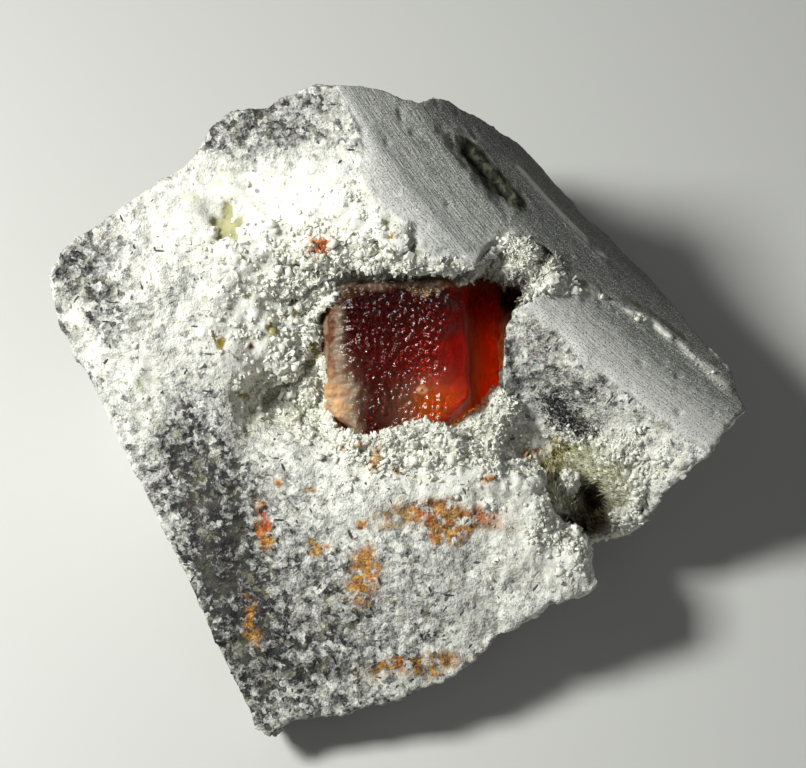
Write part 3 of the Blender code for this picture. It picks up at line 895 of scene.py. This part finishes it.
def crystal_mesh(name, places, directions, sizes, spread, random, taper):
    """Thousands of small blocks as one mesh, each set in the surface and turned its own way."""
    count = len(places)
    axis = directions + spread * random.normal(size=(count, 3))
    axis /= np.linalg.norm(axis, axis=1)[:, None]
    side = np.cross(axis, random.normal(size=(count, 3)))
    side /= np.linalg.norm(side, axis=1)[:, None]
    other = np.cross(axis, side)
    is_tip = BLOCK[:, 2] > 0
    body = np.repeat(BLOCK[None], count, axis=0) * sizes[:, None, :]
    body[..., :2] *= np.where(is_tip, 1 - taper, 1.0)[None, :, None]
    body[..., 0] += is_tip[None] * sizes[:, None, 0] * TIP_SHIFT
    points = (
        body[..., :1] * side[:, None] + body[..., 1:2] * other[:, None]
        + body[..., 2:] * axis[:, None] + places[:, None]
    ).reshape(-1, 3)
    faces = BLOCK_SIDES[None] + np.arange(count)[:, None, None] * len(BLOCK)
    mesh = bpy.data.meshes.new(name)
    mesh.from_pydata(points, [], faces.reshape(-1, 4).tolist())
    rounded = np.repeat(random.random(count) < ROUNDED_SHARE, len(BLOCK_SIDES))
    mesh.polygons.foreach_set("use_smooth", rounded)
    piece = into_scene(name, mesh)
    tone = np.repeat(random.random(count), len(BLOCK))
    tip = np.tile(is_tip, count).astype(float)
    # painted shadow in the hollows
    put_masks(piece, tone=tone, tip=tip, gloom=gloom_below(points))
    put_stains(piece, np.repeat(places, len(BLOCK), axis=0))
    put_place(piece, points)
    return piece


def scatter_blocks(name, piece, chance, count, low, high, seed):
    """Small blocks: many small ones and a few large."""
    random = np.random.default_rng(seed)
    places, directions = pick_places(piece, chance, count, random)
    size = low + (high - low) * random.random(count) ** 2.6
    shape = random.uniform(0.3, 1.0, (count, 3))
    shape[:, 2] *= 1.2
    return crystal_mesh(name, places, directions, size[:, None] * shape, 0.6, random, 0.15)


def scatter_blades(name, piece, chance, count, low, high, seed):
    """Thin pointed plates, standing up every way."""
    random = np.random.default_rng(seed)
    places, directions = pick_places(piece, chance, count, random)
    length = random.uniform(low, high, count)
    wide, thin = random.uniform(0.22, 0.4, count), random.uniform(0.06, 0.12, count)
    shape = np.stack([wide, thin, np.ones(count)], 1)
    return crystal_mesh(name, places, directions, length[:, None] * shape, 0.9, random, 0.55)


def scatter_needles(name, piece, chance, count, seed):
    """Fine needles lying together along the nook's wall, as fibres."""
    random = np.random.default_rng(seed)
    places, directions = pick_places(piece, chance, count, random)
    length = random.uniform(0.5, 1.1, count)
    wide, thin = random.uniform(0.015, 0.035, count), random.uniform(0.015, 0.035, count)
    lean = directions * 0.35 + np.array((-0.55, 0.45, 0.3))
    sizes = np.stack([wide, thin, length], 1)
    return crystal_mesh(name, places, lean, sizes, 0.22, random, 0.6)


# ---------------------------------------------------------------- materials
class Graph:
    """A material's nodes, made and joined one call at a time."""

    def __init__(self, name):
        self.material = bpy.data.materials.new(name)
        self.material.use_nodes = True
        self.tree = self.material.node_tree
        self.shader = self.tree.nodes["Principled BSDF"]
        self.output = self.tree.nodes["Material Output"]
        self.place = self.node("Attribute", {"attribute_name": "place"}).outputs["Vector"]

    def feed(self, socket, value):
        if isinstance(value, bpy.types.NodeSocket):
            self.tree.links.new(value, socket)
        else:
            socket.default_value = value

    def node(self, kind, settings=(), **inputs):
        made = self.tree.nodes.new("ShaderNode" + kind)
        for key, value in dict(settings).items():
            setattr(made, key, value)
        for key, value in inputs.items():
            self.feed(made.inputs[key.replace("_", " ")], value)
        return made

    def surface(self, **inputs):
        for key, value in inputs.items():
            self.feed(self.shader.inputs[key.replace("_", " ")], value)

    def math(self, operation, a, b, clamp=False):
        made = self.node("Math", {"operation": operation, "use_clamp": clamp})
        self.feed(made.inputs[0], a)
        self.feed(made.inputs[1], b)
        return made.outputs[0]

    def times(self, a, b, clamp=False):
        return self.math("MULTIPLY", a, b, clamp)

    def add(self, a, b, clamp=False):
        return self.math("ADD", a, b, clamp)

    def mask(self, name, strength=None):
        """A number that the mesh carries for each point, times a strength."""
        value = self.node("Attribute", {"attribute_name": name}).outputs["Fac"]
        return self.times(value, strength) if strength else value

    def stretch(self, turn, scale):
        kind = {"vector_type": "TEXTURE"}
        made = self.node("Mapping", kind, Vector=self.place, Rotation=turn, Scale=scale)
        return made.outputs["Vector"]

    def noise(self, size, detail=2.0, roughness=0.5, vector=None):
        """Noise whose lumps are about one size in millimetres."""
        made = self.node("TexNoise", Vector=vector or self.place, Scale=1 / size, Detail=detail)
        made.inputs["Roughness"].default_value = roughness
        return made.outputs["Fac"]

    def cells(self, size, wobble, vector=None):
        """A random tone for each grain of about one size, and how far its middle is."""
        vector = vector or self.place
        bent = self.node("TexNoise", Vector=vector, Scale=1 / size, Detail=1.0)
        moved = self.node("VectorMath", {"operation": "MULTIPLY_ADD"})
        self.feed(moved.inputs[0], bent.outputs["Color"])
        moved.inputs[1].default_value = (wobble * size,) * 3
        self.feed(moved.inputs[2], vector)
        cells = self.node("TexVoronoi", Vector=moved.outputs[0], Scale=1 / size)
        tone = self.node("SeparateColor", Color=cells.outputs["Color"])
        return tone.outputs["Red"], cells.outputs["Distance"]

    def ramp(self, value, low, high, start=0.0, end=1.0):
        made = self.node("MapRange", {"interpolation_type": "SMOOTHSTEP"}, Value=value)
        ends = {"From Min": low, "From Max": high, "To Min": start, "To Max": end}
        for key, number in ends.items():
            made.inputs[key].default_value = number
        return made.outputs["Result"]

    def mix(self, share, a, b, blend="MIX"):
        made = self.node("Mix", {"data_type": "RGBA", "blend_type": blend})
        for index, value in ((0, share), (6, a), (7, b)):
            is_colour = isinstance(value, tuple)
            self.feed(made.inputs[index], (*value, 1.0) if is_colour else value)
        return made.outputs[2]

    def over(self, colour, *layers):
        """A colour with others laid over it in turn, each by its share."""
        for share, layer in layers:
            colour = self.mix(share, colour, layer)
        return colour

    def bump(self, height, distance, normal=None):
        made = self.node("Bump", Height=height, Distance=distance * MM, Strength=1.0)
        if normal:
            self.feed(made.inputs["Normal"], normal)
        return made.outputs["Normal"]


NEEDLE_TURNS = ((0.3, 0, 0.4), (0, 0.3, 1.5), (-0.3, 0, 2.5))
OLIVE_SHADE = (0.13, 0.12, 0.05)
# The colour of the painted shadow in the hollows.
GLOOM = (0.05, 0.035, 0.015)


def needles(graph, size):
    """Thin dark needles lying in several directions."""
    total = None
    for turn in NEEDLE_TURNS:
        lane = graph.stretch(turn, (1, 5, 1))
        tone, away = graph.cells(size, 0.3, lane)
        width = graph.ramp(tone, 0.25, 1.0, 0.0, 0.17)
        one = graph.ramp(graph.math("SUBTRACT", width, away), 0.0, 0.03)
        total = one if total is None else graph.math("MAXIMUM", total, one)
    return total


def rust_over(graph, colour):
    """Ochre with some orange red, breaking up at its edges."""
    patchy = graph.ramp(graph.noise(0.6, 3.0, 0.7), 0.34, 0.56, 0.0, 1.6)
    ragged = graph.times(graph.mask("stain"), patchy)
    tone = graph.noise(0.32, 3.0, 0.7)
    red = graph.ramp(graph.noise(0.8, 1.0), 0.54, 0.62, 0.0, 0.35)
    red = graph.add(graph.mask("red"), red)
    red = graph.times(red, graph.ramp(tone, 0.3, 0.55), True)
    rust = graph.over(
        graph.mix(graph.ramp(tone, 0.38, 0.5), (0.09, 0.028, 0.004), (0.36, 0.14, 0.010)),
        (graph.ramp(tone, 0.52, 0.62), (0.60, 0.36, 0.07)),
        (red, (0.62, 0.09, 0.02)),
    )
    moss = graph.times(graph.mask("moss"), patchy)
    return graph.over(
        colour,
        (graph.ramp(ragged, 0.12, 0.95, 0.0, 0.95), rust),
        (graph.ramp(moss, 0.2, 0.9, 0.0, 0.85), (0.24, 0.19, 0.02)),
    )


def olive_crust(graph, fine):
    return graph.mix(graph.ramp(fine, 0.35, 0.6), (0.22, 0.21, 0.13), (0.50, 0.49, 0.36))


def front_colour(graph, white, fine):
    """Grey grains, white crystals, dark needles and specks."""
    patch = graph.noise(0.62, 5.0, 0.72)
    grain, _ = graph.cells(0.34, 1.0)
    level = graph.add(graph.times(patch, 0.72), graph.times(grain, 0.24))
    level = graph.add(level, graph.times(fine, 0.42))
    level = graph.add(level, graph.times(white, 0.32))
    level = graph.math("SUBTRACT", level, graph.mask("grey", 0.21))
    level = graph.math("SUBTRACT", level, 0.06)
    yellow = graph.ramp(graph.noise(0.8, 3.0, 0.6), 0.54, 0.68, 0.0, 0.45)
    dark = graph.times(needles(graph, 0.5), graph.ramp(white, 0.5, 1.0, 0.95, 0.4))
    specks = graph.add(graph.noise(0.36, 6.0, 1.0), graph.mask("specks", 0.135))
    specks = graph.times(graph.ramp(specks, 0.59, 0.63), graph.ramp(fine, 0.34, 0.46, 0.2, 1.0))
    return graph.over(
        graph.mix(graph.ramp(level, 0.42, 0.54), (0.018, 0.018, 0.02), (0.20, 0.20, 0.195)),
        (graph.ramp(level, 0.53, 0.64), (0.48, 0.48, 0.455)),
        (graph.ramp(level, 0.63, 0.78), (0.76, 0.76, 0.71)),
        (graph.ramp(level, 0.84, 1.0), (0.87, 0.87, 0.82)),
        (graph.times(yellow, graph.ramp(white, 0.2, 0.9, 0.5, 1.0)), (0.62, 0.60, 0.38)),
        (graph.ramp(graph.noise(0.45, 2.0), 0.68, 0.72, 0.0, 0.6), (0.12, 0.035, 0.06)),
        (dark, (0.02, 0.02, 0.025)),
        (specks, (0.006, 0.006, 0.008)),
        (graph.mask("bare", 0.55), olive_crust(graph, fine)),
        # painted shade between the round lumps
        (graph.mask("gap", 0.85), (0.24, 0.23, 0.12)),
        (graph.mask("shade", 0.85), OLIVE_SHADE),
        (graph.mask("star"), (0.44, 0.42, 0.22)),
    )


def drilled_colour(graph, across, hair, middle):
    """Grey with light and dark hair lines along the scratches, and painted light and shade across
    the side.
    """
    salt = graph.noise(0.085, 1.0, 0.6)
    # More pale flecks near the front edge, as painted light.
    flecks = graph.add(middle, graph.ramp(across, -4.0, 1.0, 0.12, -0.1))
    # The slot and the line beside the vein are painted dark as shade.
    slot = graph.mask("slot")
    darkest = graph.times(slot, graph.ramp(middle, 0.35, 0.6, 0.6, 1.0))
    return graph.over(
        graph.mix(graph.ramp(hair, 0.32, 0.68), (0.23, 0.235, 0.215), (0.54, 0.55, 0.51)),
        # painted light near the front edge
        (graph.ramp(across, 1.4, -3.0, 0.0, 0.65), (0.80, 0.80, 0.79)),
        # painted shade as the side turns away towards the vein
        (graph.ramp(across, 0.8, 4.2, 0.0, 0.62), (0.10, 0.10, 0.10)),
        # painted light on the block under the vein
        (graph.mask("lower", 0.6), (0.80, 0.80, 0.77)),
        (graph.ramp(salt, 0.55, 0.68, 0.0, 0.7), (0.78, 0.78, 0.76)),
        (graph.ramp(salt, 0.44, 0.32, 0.0, 0.75), (0.05, 0.05, 0.055)),
        # painted shade at the rim
        (graph.ramp(across, 5.5, 6.1, 0.0, 0.45), (0.10, 0.10, 0.10)),
        (graph.ramp(flecks, 0.6, 0.66, 0.0, 0.8), (0.84, 0.84, 0.81)),
        (graph.mask("pale"), (0.82, 0.81, 0.74)),
        # painted shade in the slot
        (graph.ramp(slot, 0.0, 0.5), (0.10, 0.105, 0.07)),
        (graph.ramp(darkest, 0.45, 0.95), (0.014, 0.015, 0.009)),
    )


def rock_material():
    graph = Graph("rock")
    white, drilled, across = graph.mask("white"), graph.mask("drilled"), graph.mask("across")
    fine = graph.noise(0.15, 2.0, 0.65)
    middle = graph.noise(0.5, 3.0, 0.6)
    lane = graph.node("CombineXYZ", X=across, Y=graph.mask("along", 0.07)).outputs[0]
    hair = graph.noise(0.11, 2.0, 0.75, lane)
    ground = drilled_colour(graph, across, hair, middle)
    colour = graph.mix(drilled, front_colour(graph, white, fine), ground)
    # Painted shade in sunk places, weaker on the white crust.
    hollow = graph.times(graph.mask("low"), graph.ramp(white, 0.3, 1.0, 0.3, 0.15))
    colour = graph.over(
        rust_over(graph, colour),
        (hollow, (0.17, 0.165, 0.11)),
        # painted shade in the crevices
        (graph.ramp(graph.mask("crevice"), 0.3, 0.9), (0.05, 0.047, 0.03)),
        # painted shadow in the hollows
        (graph.mask("gloom"), GLOOM),
    )
    height = graph.add(graph.times(fine, 0.5), graph.times(middle, 0.8))
    height = graph.times(height, graph.ramp(drilled, 0.0, 1.0, 1.0, 0.15))
    height = graph.times(height, graph.ramp(white, 0.4, 1.0, 1.0, 0.5))
    normal = graph.bump(graph.times(hair, drilled), 0.06, graph.bump(height, 0.2))
    roughness = graph.ramp(fine, 0.3, 0.7, 0.55, 0.85)
    graph.surface(Base_Color=colour, Roughness=roughness, Normal=normal)
    graph.surface(Specular_IOR_Level=0.3)
    soften_light(graph, graph.ramp(white, 0.4, 1.0, 0.0, 0.5))
    return graph.material


def zeolite_colour(graph, tone, fine):
    pale = graph.mix(tone, (0.72, 0.72, 0.64), (0.90, 0.90, 0.86))
    return graph.mix(graph.ramp(fine, 0.3, 0.62, 0.25, 0.0), pale, (0.58, 0.58, 0.46))


def lining_material(name, tint, shade):
    graph = Graph(name)
    # shade is the colour of the painted shade in the crust's sunk places.
    fine = graph.noise(0.2, 2.0, 0.6)
    broad = graph.noise(1.4, 2.0)
    colour = zeolite_colour(graph, graph.ramp(broad, 0.3, 0.65), fine)
    colour = graph.over(
        colour,
        (graph.mask("deep"), graph.mix(1.0, colour, tint, "MULTIPLY")),
        # painted shade where the crust is sunk
        (graph.mask("low", 0.6), shade),
        (graph.mask("bare", 0.55), olive_crust(graph, fine)),
        (graph.mask("shade", 0.8), OLIVE_SHADE),
    )
    colour = rust_over(graph, colour)
    # Painted shadow in the hollows.
    colour = graph.mix(graph.mask("gloom"), colour, (0.045, 0.028, 0.012))
    normal = graph.bump(graph.noise(0.25, 3.0, 0.6), 0.12)
    roughness = graph.ramp(fine, 0.3, 0.7, 0.3, 0.6)
    graph.surface(Base_Color=colour, Roughness=roughness, Normal=normal)
    soften_light(graph, 0.3)
    return graph.material


def soften_light(graph, share):
    """Light spreads a little way inside white crystals."""
    graph.surface(Subsurface_Weight=share, Subsurface_Scale=0.7 * MM)
    graph.shader.inputs["Subsurface Radius"].default_value = (1.0, 0.95, 0.8)


def small_crystal_material(name, tint):
    graph = Graph(name)
    fine = graph.noise(0.3, 2.0)
    tone = graph.mask("tone")
    colour = graph.mix(1.0, zeolite_colour(graph, tone, fine), tint, "MULTIPLY")
    # Painted shade at each small crystal's foot.
    foot = graph.ramp(graph.mask("tip"), 0.0, 1.0, 0.15, 0.0)
    colour = graph.mix(foot, colour, (0.46, 0.46, 0.36))
    colour = rust_over(graph, colour)
    # Painted shadow in the hollows.
    colour = graph.mix(graph.mask("gloom"), colour, GLOOM)
    graph.surface(Base_Color=colour, Roughness=graph.ramp(tone, 0.0, 1.0, 0.18, 0.5))
    graph.surface(Normal=graph.bump(fine, 0.04))
    soften_light(graph, 0.25)
    return graph.material


def villiaumite_material():
    """Clear, cherry red by absorption, its etched skin rougher than the rest."""
    graph = Graph("villiaumite")
    fine = graph.noise(0.14, 2.0)
    cloud = graph.noise(0.9, 3.0)
    matte = graph.mask("matte")
    patchy = graph.times(matte, graph.ramp(cloud, 0.35, 0.65, 0.35, 1.0))
    lighter = graph.add(graph.ramp(cloud, 0.4, 0.65, 0.0, 0.04), graph.mask("corner"), True)
    skin = graph.mix(lighter, (0.15, 0.040, 0.015), (0.95, 0.56, 0.28))
    # The painted shadow darkens the top to brownish red and makes it rougher.
    gloom = graph.mask("gloom", 0.75)
    roughness = graph.add(graph.times(matte, 0.4), graph.ramp(fine, 0.4, 0.6, 0.12, 0.21))
    roughness = graph.add(roughness, graph.mask("right", 0.05))
    roughness = graph.add(roughness, graph.times(gloom, 0.12))
    colour = graph.over(
        graph.mix(gloom, (1.0, 0.82, 0.55), (0.40, 0.22, 0.20)),
        (graph.mask("right", 0.8), (0.58, 0.12, 0.025)),
        # painted glow: orange where light comes through
        (graph.mask("glow"), (1.0, 0.28, 0.006)),
        (graph.ramp(patchy, 0.1, 0.8), skin),
    )
    # The painted glow is partly opaque orange.
    opaque = graph.times(graph.math("MAXIMUM", patchy, graph.mask("glow", 0.17)), 0.75)
    bumps = graph.times(graph.noise(0.22, 2.0), graph.add(graph.mask("etched"), 0.15))
    graph.surface(Base_Color=colour, Roughness=roughness, IOR=1.327)
    graph.surface(Transmission_Weight=graph.math("SUBTRACT", 1.0, opaque))
    graph.surface(Normal=graph.bump(bumps, 0.06))
    absorb = graph.node("VolumeAbsorption", Color=(0.98, 0.62, 0.02, 1.0), Density=560.0)
    graph.tree.links.new(absorb.outputs["Volume"], graph.output.inputs["Volume"])
    return graph.material


# ---------------------------------------------------------------- putting it together


def near_hollows(points):
    """High near the vug and the nook, where most small crystals grow, and low far from them."""
    u, v, _ = points.T
    near = vug_nearness(points) * ramp(v, -5.0, -2.6)
    near += 0.03 + 0.9 * spot(points, 11.5, -4.0, 4.0, 4.0)
    near *= 0.15 + 0.85 * ramp(-v, -10.5, -9.0)
    near *= (1 - 0.92 * in_spots(points, BLOB_SPOTS)) * (0.3 + 0.7 * ramp(u, -6.5, -4.0))
    near *= 1 - 0.85 * spot(points, 9.6, 0.6, 2.6, 3.2)
    near *= 1 - 0.6 * spot(points, -6.5, 3.8, 3.4, 4.5)
    return near * (0.35 + 0.65 * ramp(v, -2.0, 1.0))


def scatter_on_rock(rock, points, places, white):
    facing = places["front"] * (1 - places["sawn"]) * ramp(points[:, 2], -4.5, -2.5)
    patches = ramp(soft_noise(points, 1.3, 80), -0.3, 0.5)
    kept_off = unit(sum_of_spots(points, CREVICES + SHADE_SPOTS) + star_share(points))
    grown = (1 - in_spots(points, BARE_SPOTS)) * (1 - kept_off)
    near = near_hollows(points)
    chance = facing * grown * ramp(white, 0.3, 0.9) * (0.1 + patches) * near
    on_vein = 0.05 * vein_share(points) * places["drilled"] * ramp(patches, 0.4, 0.8)
    lip = sum_of_spots(points, LIP_SPOTS)
    lip *= facing * grown * ramp(white, 0.3, 0.6) * (1 - 0.85 * in_spots(points, BLOB_SPOTS))
    blades = 0.2 * lip + spot(points, 0.8, 6.9, 5.5, 0.4) * facing + 0.15 * chance
    return [
        scatter_blocks("rock_zeolites", rock, chance + on_vein, 3600, 0.05, 0.22, 1),
        scatter_blocks("lip_zeolites", rock, lip, 900, 0.08, 0.36, 2),
        scatter_blades("lip_blades", rock, blades, 900, 0.15, 0.5, 5),
    ]


def scatter_in_vug(vug, points, normals):
    u, v, w = points.T
    side = ramp(u, 4.9, 5.6) * within(v, 2.2, 3.0, 3.8)
    open_side = (1 - side) * (1 - 0.4 * in_spots(points, BARE_SPOTS))
    inside = facing_middle(points, normals, VUG_CENTRE) + 0.9 * normals[:, 2]
    seen = ramp(w, -10.5, -6.0) * ramp(inside, 0.0, 0.5) * open_side
    seen *= 0.4 + ramp(w, -5.5, -3.5)
    seen *= 1 - 0.85 * spot(points, 0.6, 6.6, 5.6, 0.7, 2)
    hollow = spot(points, -5.5, 0.3, 1.3, 1.9) * ramp(normals[:, 2], 0.1, 0.5)
    return [
        scatter_blocks("vug_zeolites", vug, seen + 1.5 * hollow, 7000, 0.05, 0.22, 3),
        scatter_blades("vug_blades", vug, seen * (1 - hollow), 1800, 0.2, 0.45, 6),
    ]


def build_specimen():
    rock, points, places, white = build_rock()
    vug, *vug_shape = build_lining("vug_crust", "vug_lining", VUG_CENTRE, VUG_VOXEL, 60, 0.75)
    nook, nook_points, nook_normals = build_lining(
        "nook_crust", "nook_lining", NOOK_CENTRE, NOOK_VOXEL, 70, 0.5
    )
    crystal = build_crystal()
    heap, heap_normals = build_heap("vug_heap", HEAP)
    nook_heap, nook_heap_normals = build_heap("nook_heap", NOOK_HEAP)
    small = scatter_on_rock(rock, points, places, white) + scatter_in_vug(vug, *vug_shape)
    top = ramp(heap_normals[:, 2], -0.2, 0.3)
    small.append(scatter_blades("heap_blades", heap, top, 2800, 0.15, 0.4, 7))
    top = ramp(nook_heap_normals[:, 2], -0.2, 0.3)
    small.append(scatter_blocks("nook_blocks", nook_heap, top, 1800, 0.05, 0.25, 9))
    rim = ramp(nook_normals[:, 2], 0.2, 0.6) * ramp(nook_points[:, 2], -5.5, -4.0)
    small.append(scatter_blocks("nook_rim", nook, rim, 1500, 0.05, 0.25, 10))
    inside = ramp(facing_middle(nook_points, nook_normals, NOOK_CENTRE), -0.2, 0.4)
    in_nook = scatter_needles("nook_needles", nook, inside + 0.02, 6000, 8)
    white_stuff = small_crystal_material("zeolite_crystals", (1.0, 1.0, 0.97))
    dress(rock, rock_material(), "matrix")
    lining = lining_material("zeolite_lining", (0.97, 0.97, 0.92), (0.34, 0.33, 0.24))
    dress(vug, lining, "vug_crust")
    dress(heap, lining)
    dress(nook_heap, lining)
    green = lining_material("zeolite_nook_lining", (0.78, 0.79, 0.62), (0.20, 0.18, 0.09))
    dress(nook, green, "nook_crust")
    dress(crystal, villiaumite_material(), "villiaumite_crystal")
    for piece in small:
        dress(piece, white_stuff)
    dress(in_nook, small_crystal_material("nook_crystals", (0.74, 0.73, 0.55)))


# ---------------------------------------------------------------- camera, floor and light
ACROSS = Vector((1, 0, 0))
ALONG = Vector((0, math.cos(LEAN), math.sin(LEAN)))
OUT = Vector((0, -math.sin(LEAN), math.cos(LEAN)))
CAMERA_AWAY = 0.170
CAMERA_SPAN = 46.06 * MM
SENSOR = 36
# The view's middle is 3 steps right of the origin and 16 above it.
VIEW_STEPS = 17.5  # to a millimetre
AIM = ORIGIN + (ACROSS * 3 + ALONG * 16) / VIEW_STEPS * MM


def add_camera():
    data = bpy.data.cameras.new("camera")
    data.sensor_width = SENSOR
    data.lens = SENSOR * CAMERA_AWAY / CAMERA_SPAN
    data.clip_start = 0.01
    data.clip_end = 10
    camera = into_scene("camera", data)
    camera.matrix_world = Matrix.Translation(AIM + OUT * CAMERA_AWAY) @ LEANED
    bpy.context.scene.camera = camera


def add_light(name, direction, away, size, watts, colour):
    data = bpy.data.lights.new(name, "AREA")
    data.size = size
    data.energy = watts
    data.color = colour
    light = into_scene(name, data)
    towards = direction.normalized()
    light.location = AIM + towards * away
    light.rotation_mode = "QUATERNION"
    light.rotation_quaternion = towards.to_track_quat("Z", "Y")


def add_floor():
    mesh = bpy.data.meshes.new("floor")
    reach = 1.5
    corners = [(-reach, -reach, 0), (reach, -reach, 0), (reach, reach, 0), (-reach, reach, 0)]
    mesh.from_pydata(corners, [], [(0, 1, 2, 3)])
    graph = Graph("floor")
    graph.surface(Base_Color=(0.55, 0.55, 0.54, 1.0), Roughness=0.8)
    mesh.materials.append(graph.material)
    floor = into_scene("floor", mesh)


def light_the_room():
    world = bpy.data.worlds.new("studio")
    world.use_nodes = True
    background = world.node_tree.nodes["Background"]
    background.inputs["Color"].default_value = (1.0, 1.0, 1.0, 1.0)
    background.inputs["Strength"].default_value = 0.085
    bpy.context.scene.world = world
    bpy.context.scene.view_settings.view_transform = "Standard"
    key = ACROSS * -0.69 + ALONG * 0.36 + OUT * 0.64
    fill = ACROSS * 0.5 + ALONG * -0.3 + OUT * 1.2
    add_light("key", key, 0.14, 0.034, 0.30, (0.985, 1.0, 0.945))
    add_light("fill", fill, 0.5, 0.3, 0.19, (0.97, 0.99, 1.0))


build_specimen()
add_floor()
add_camera()
light_the_room()
bpy.context.view_layer.update()
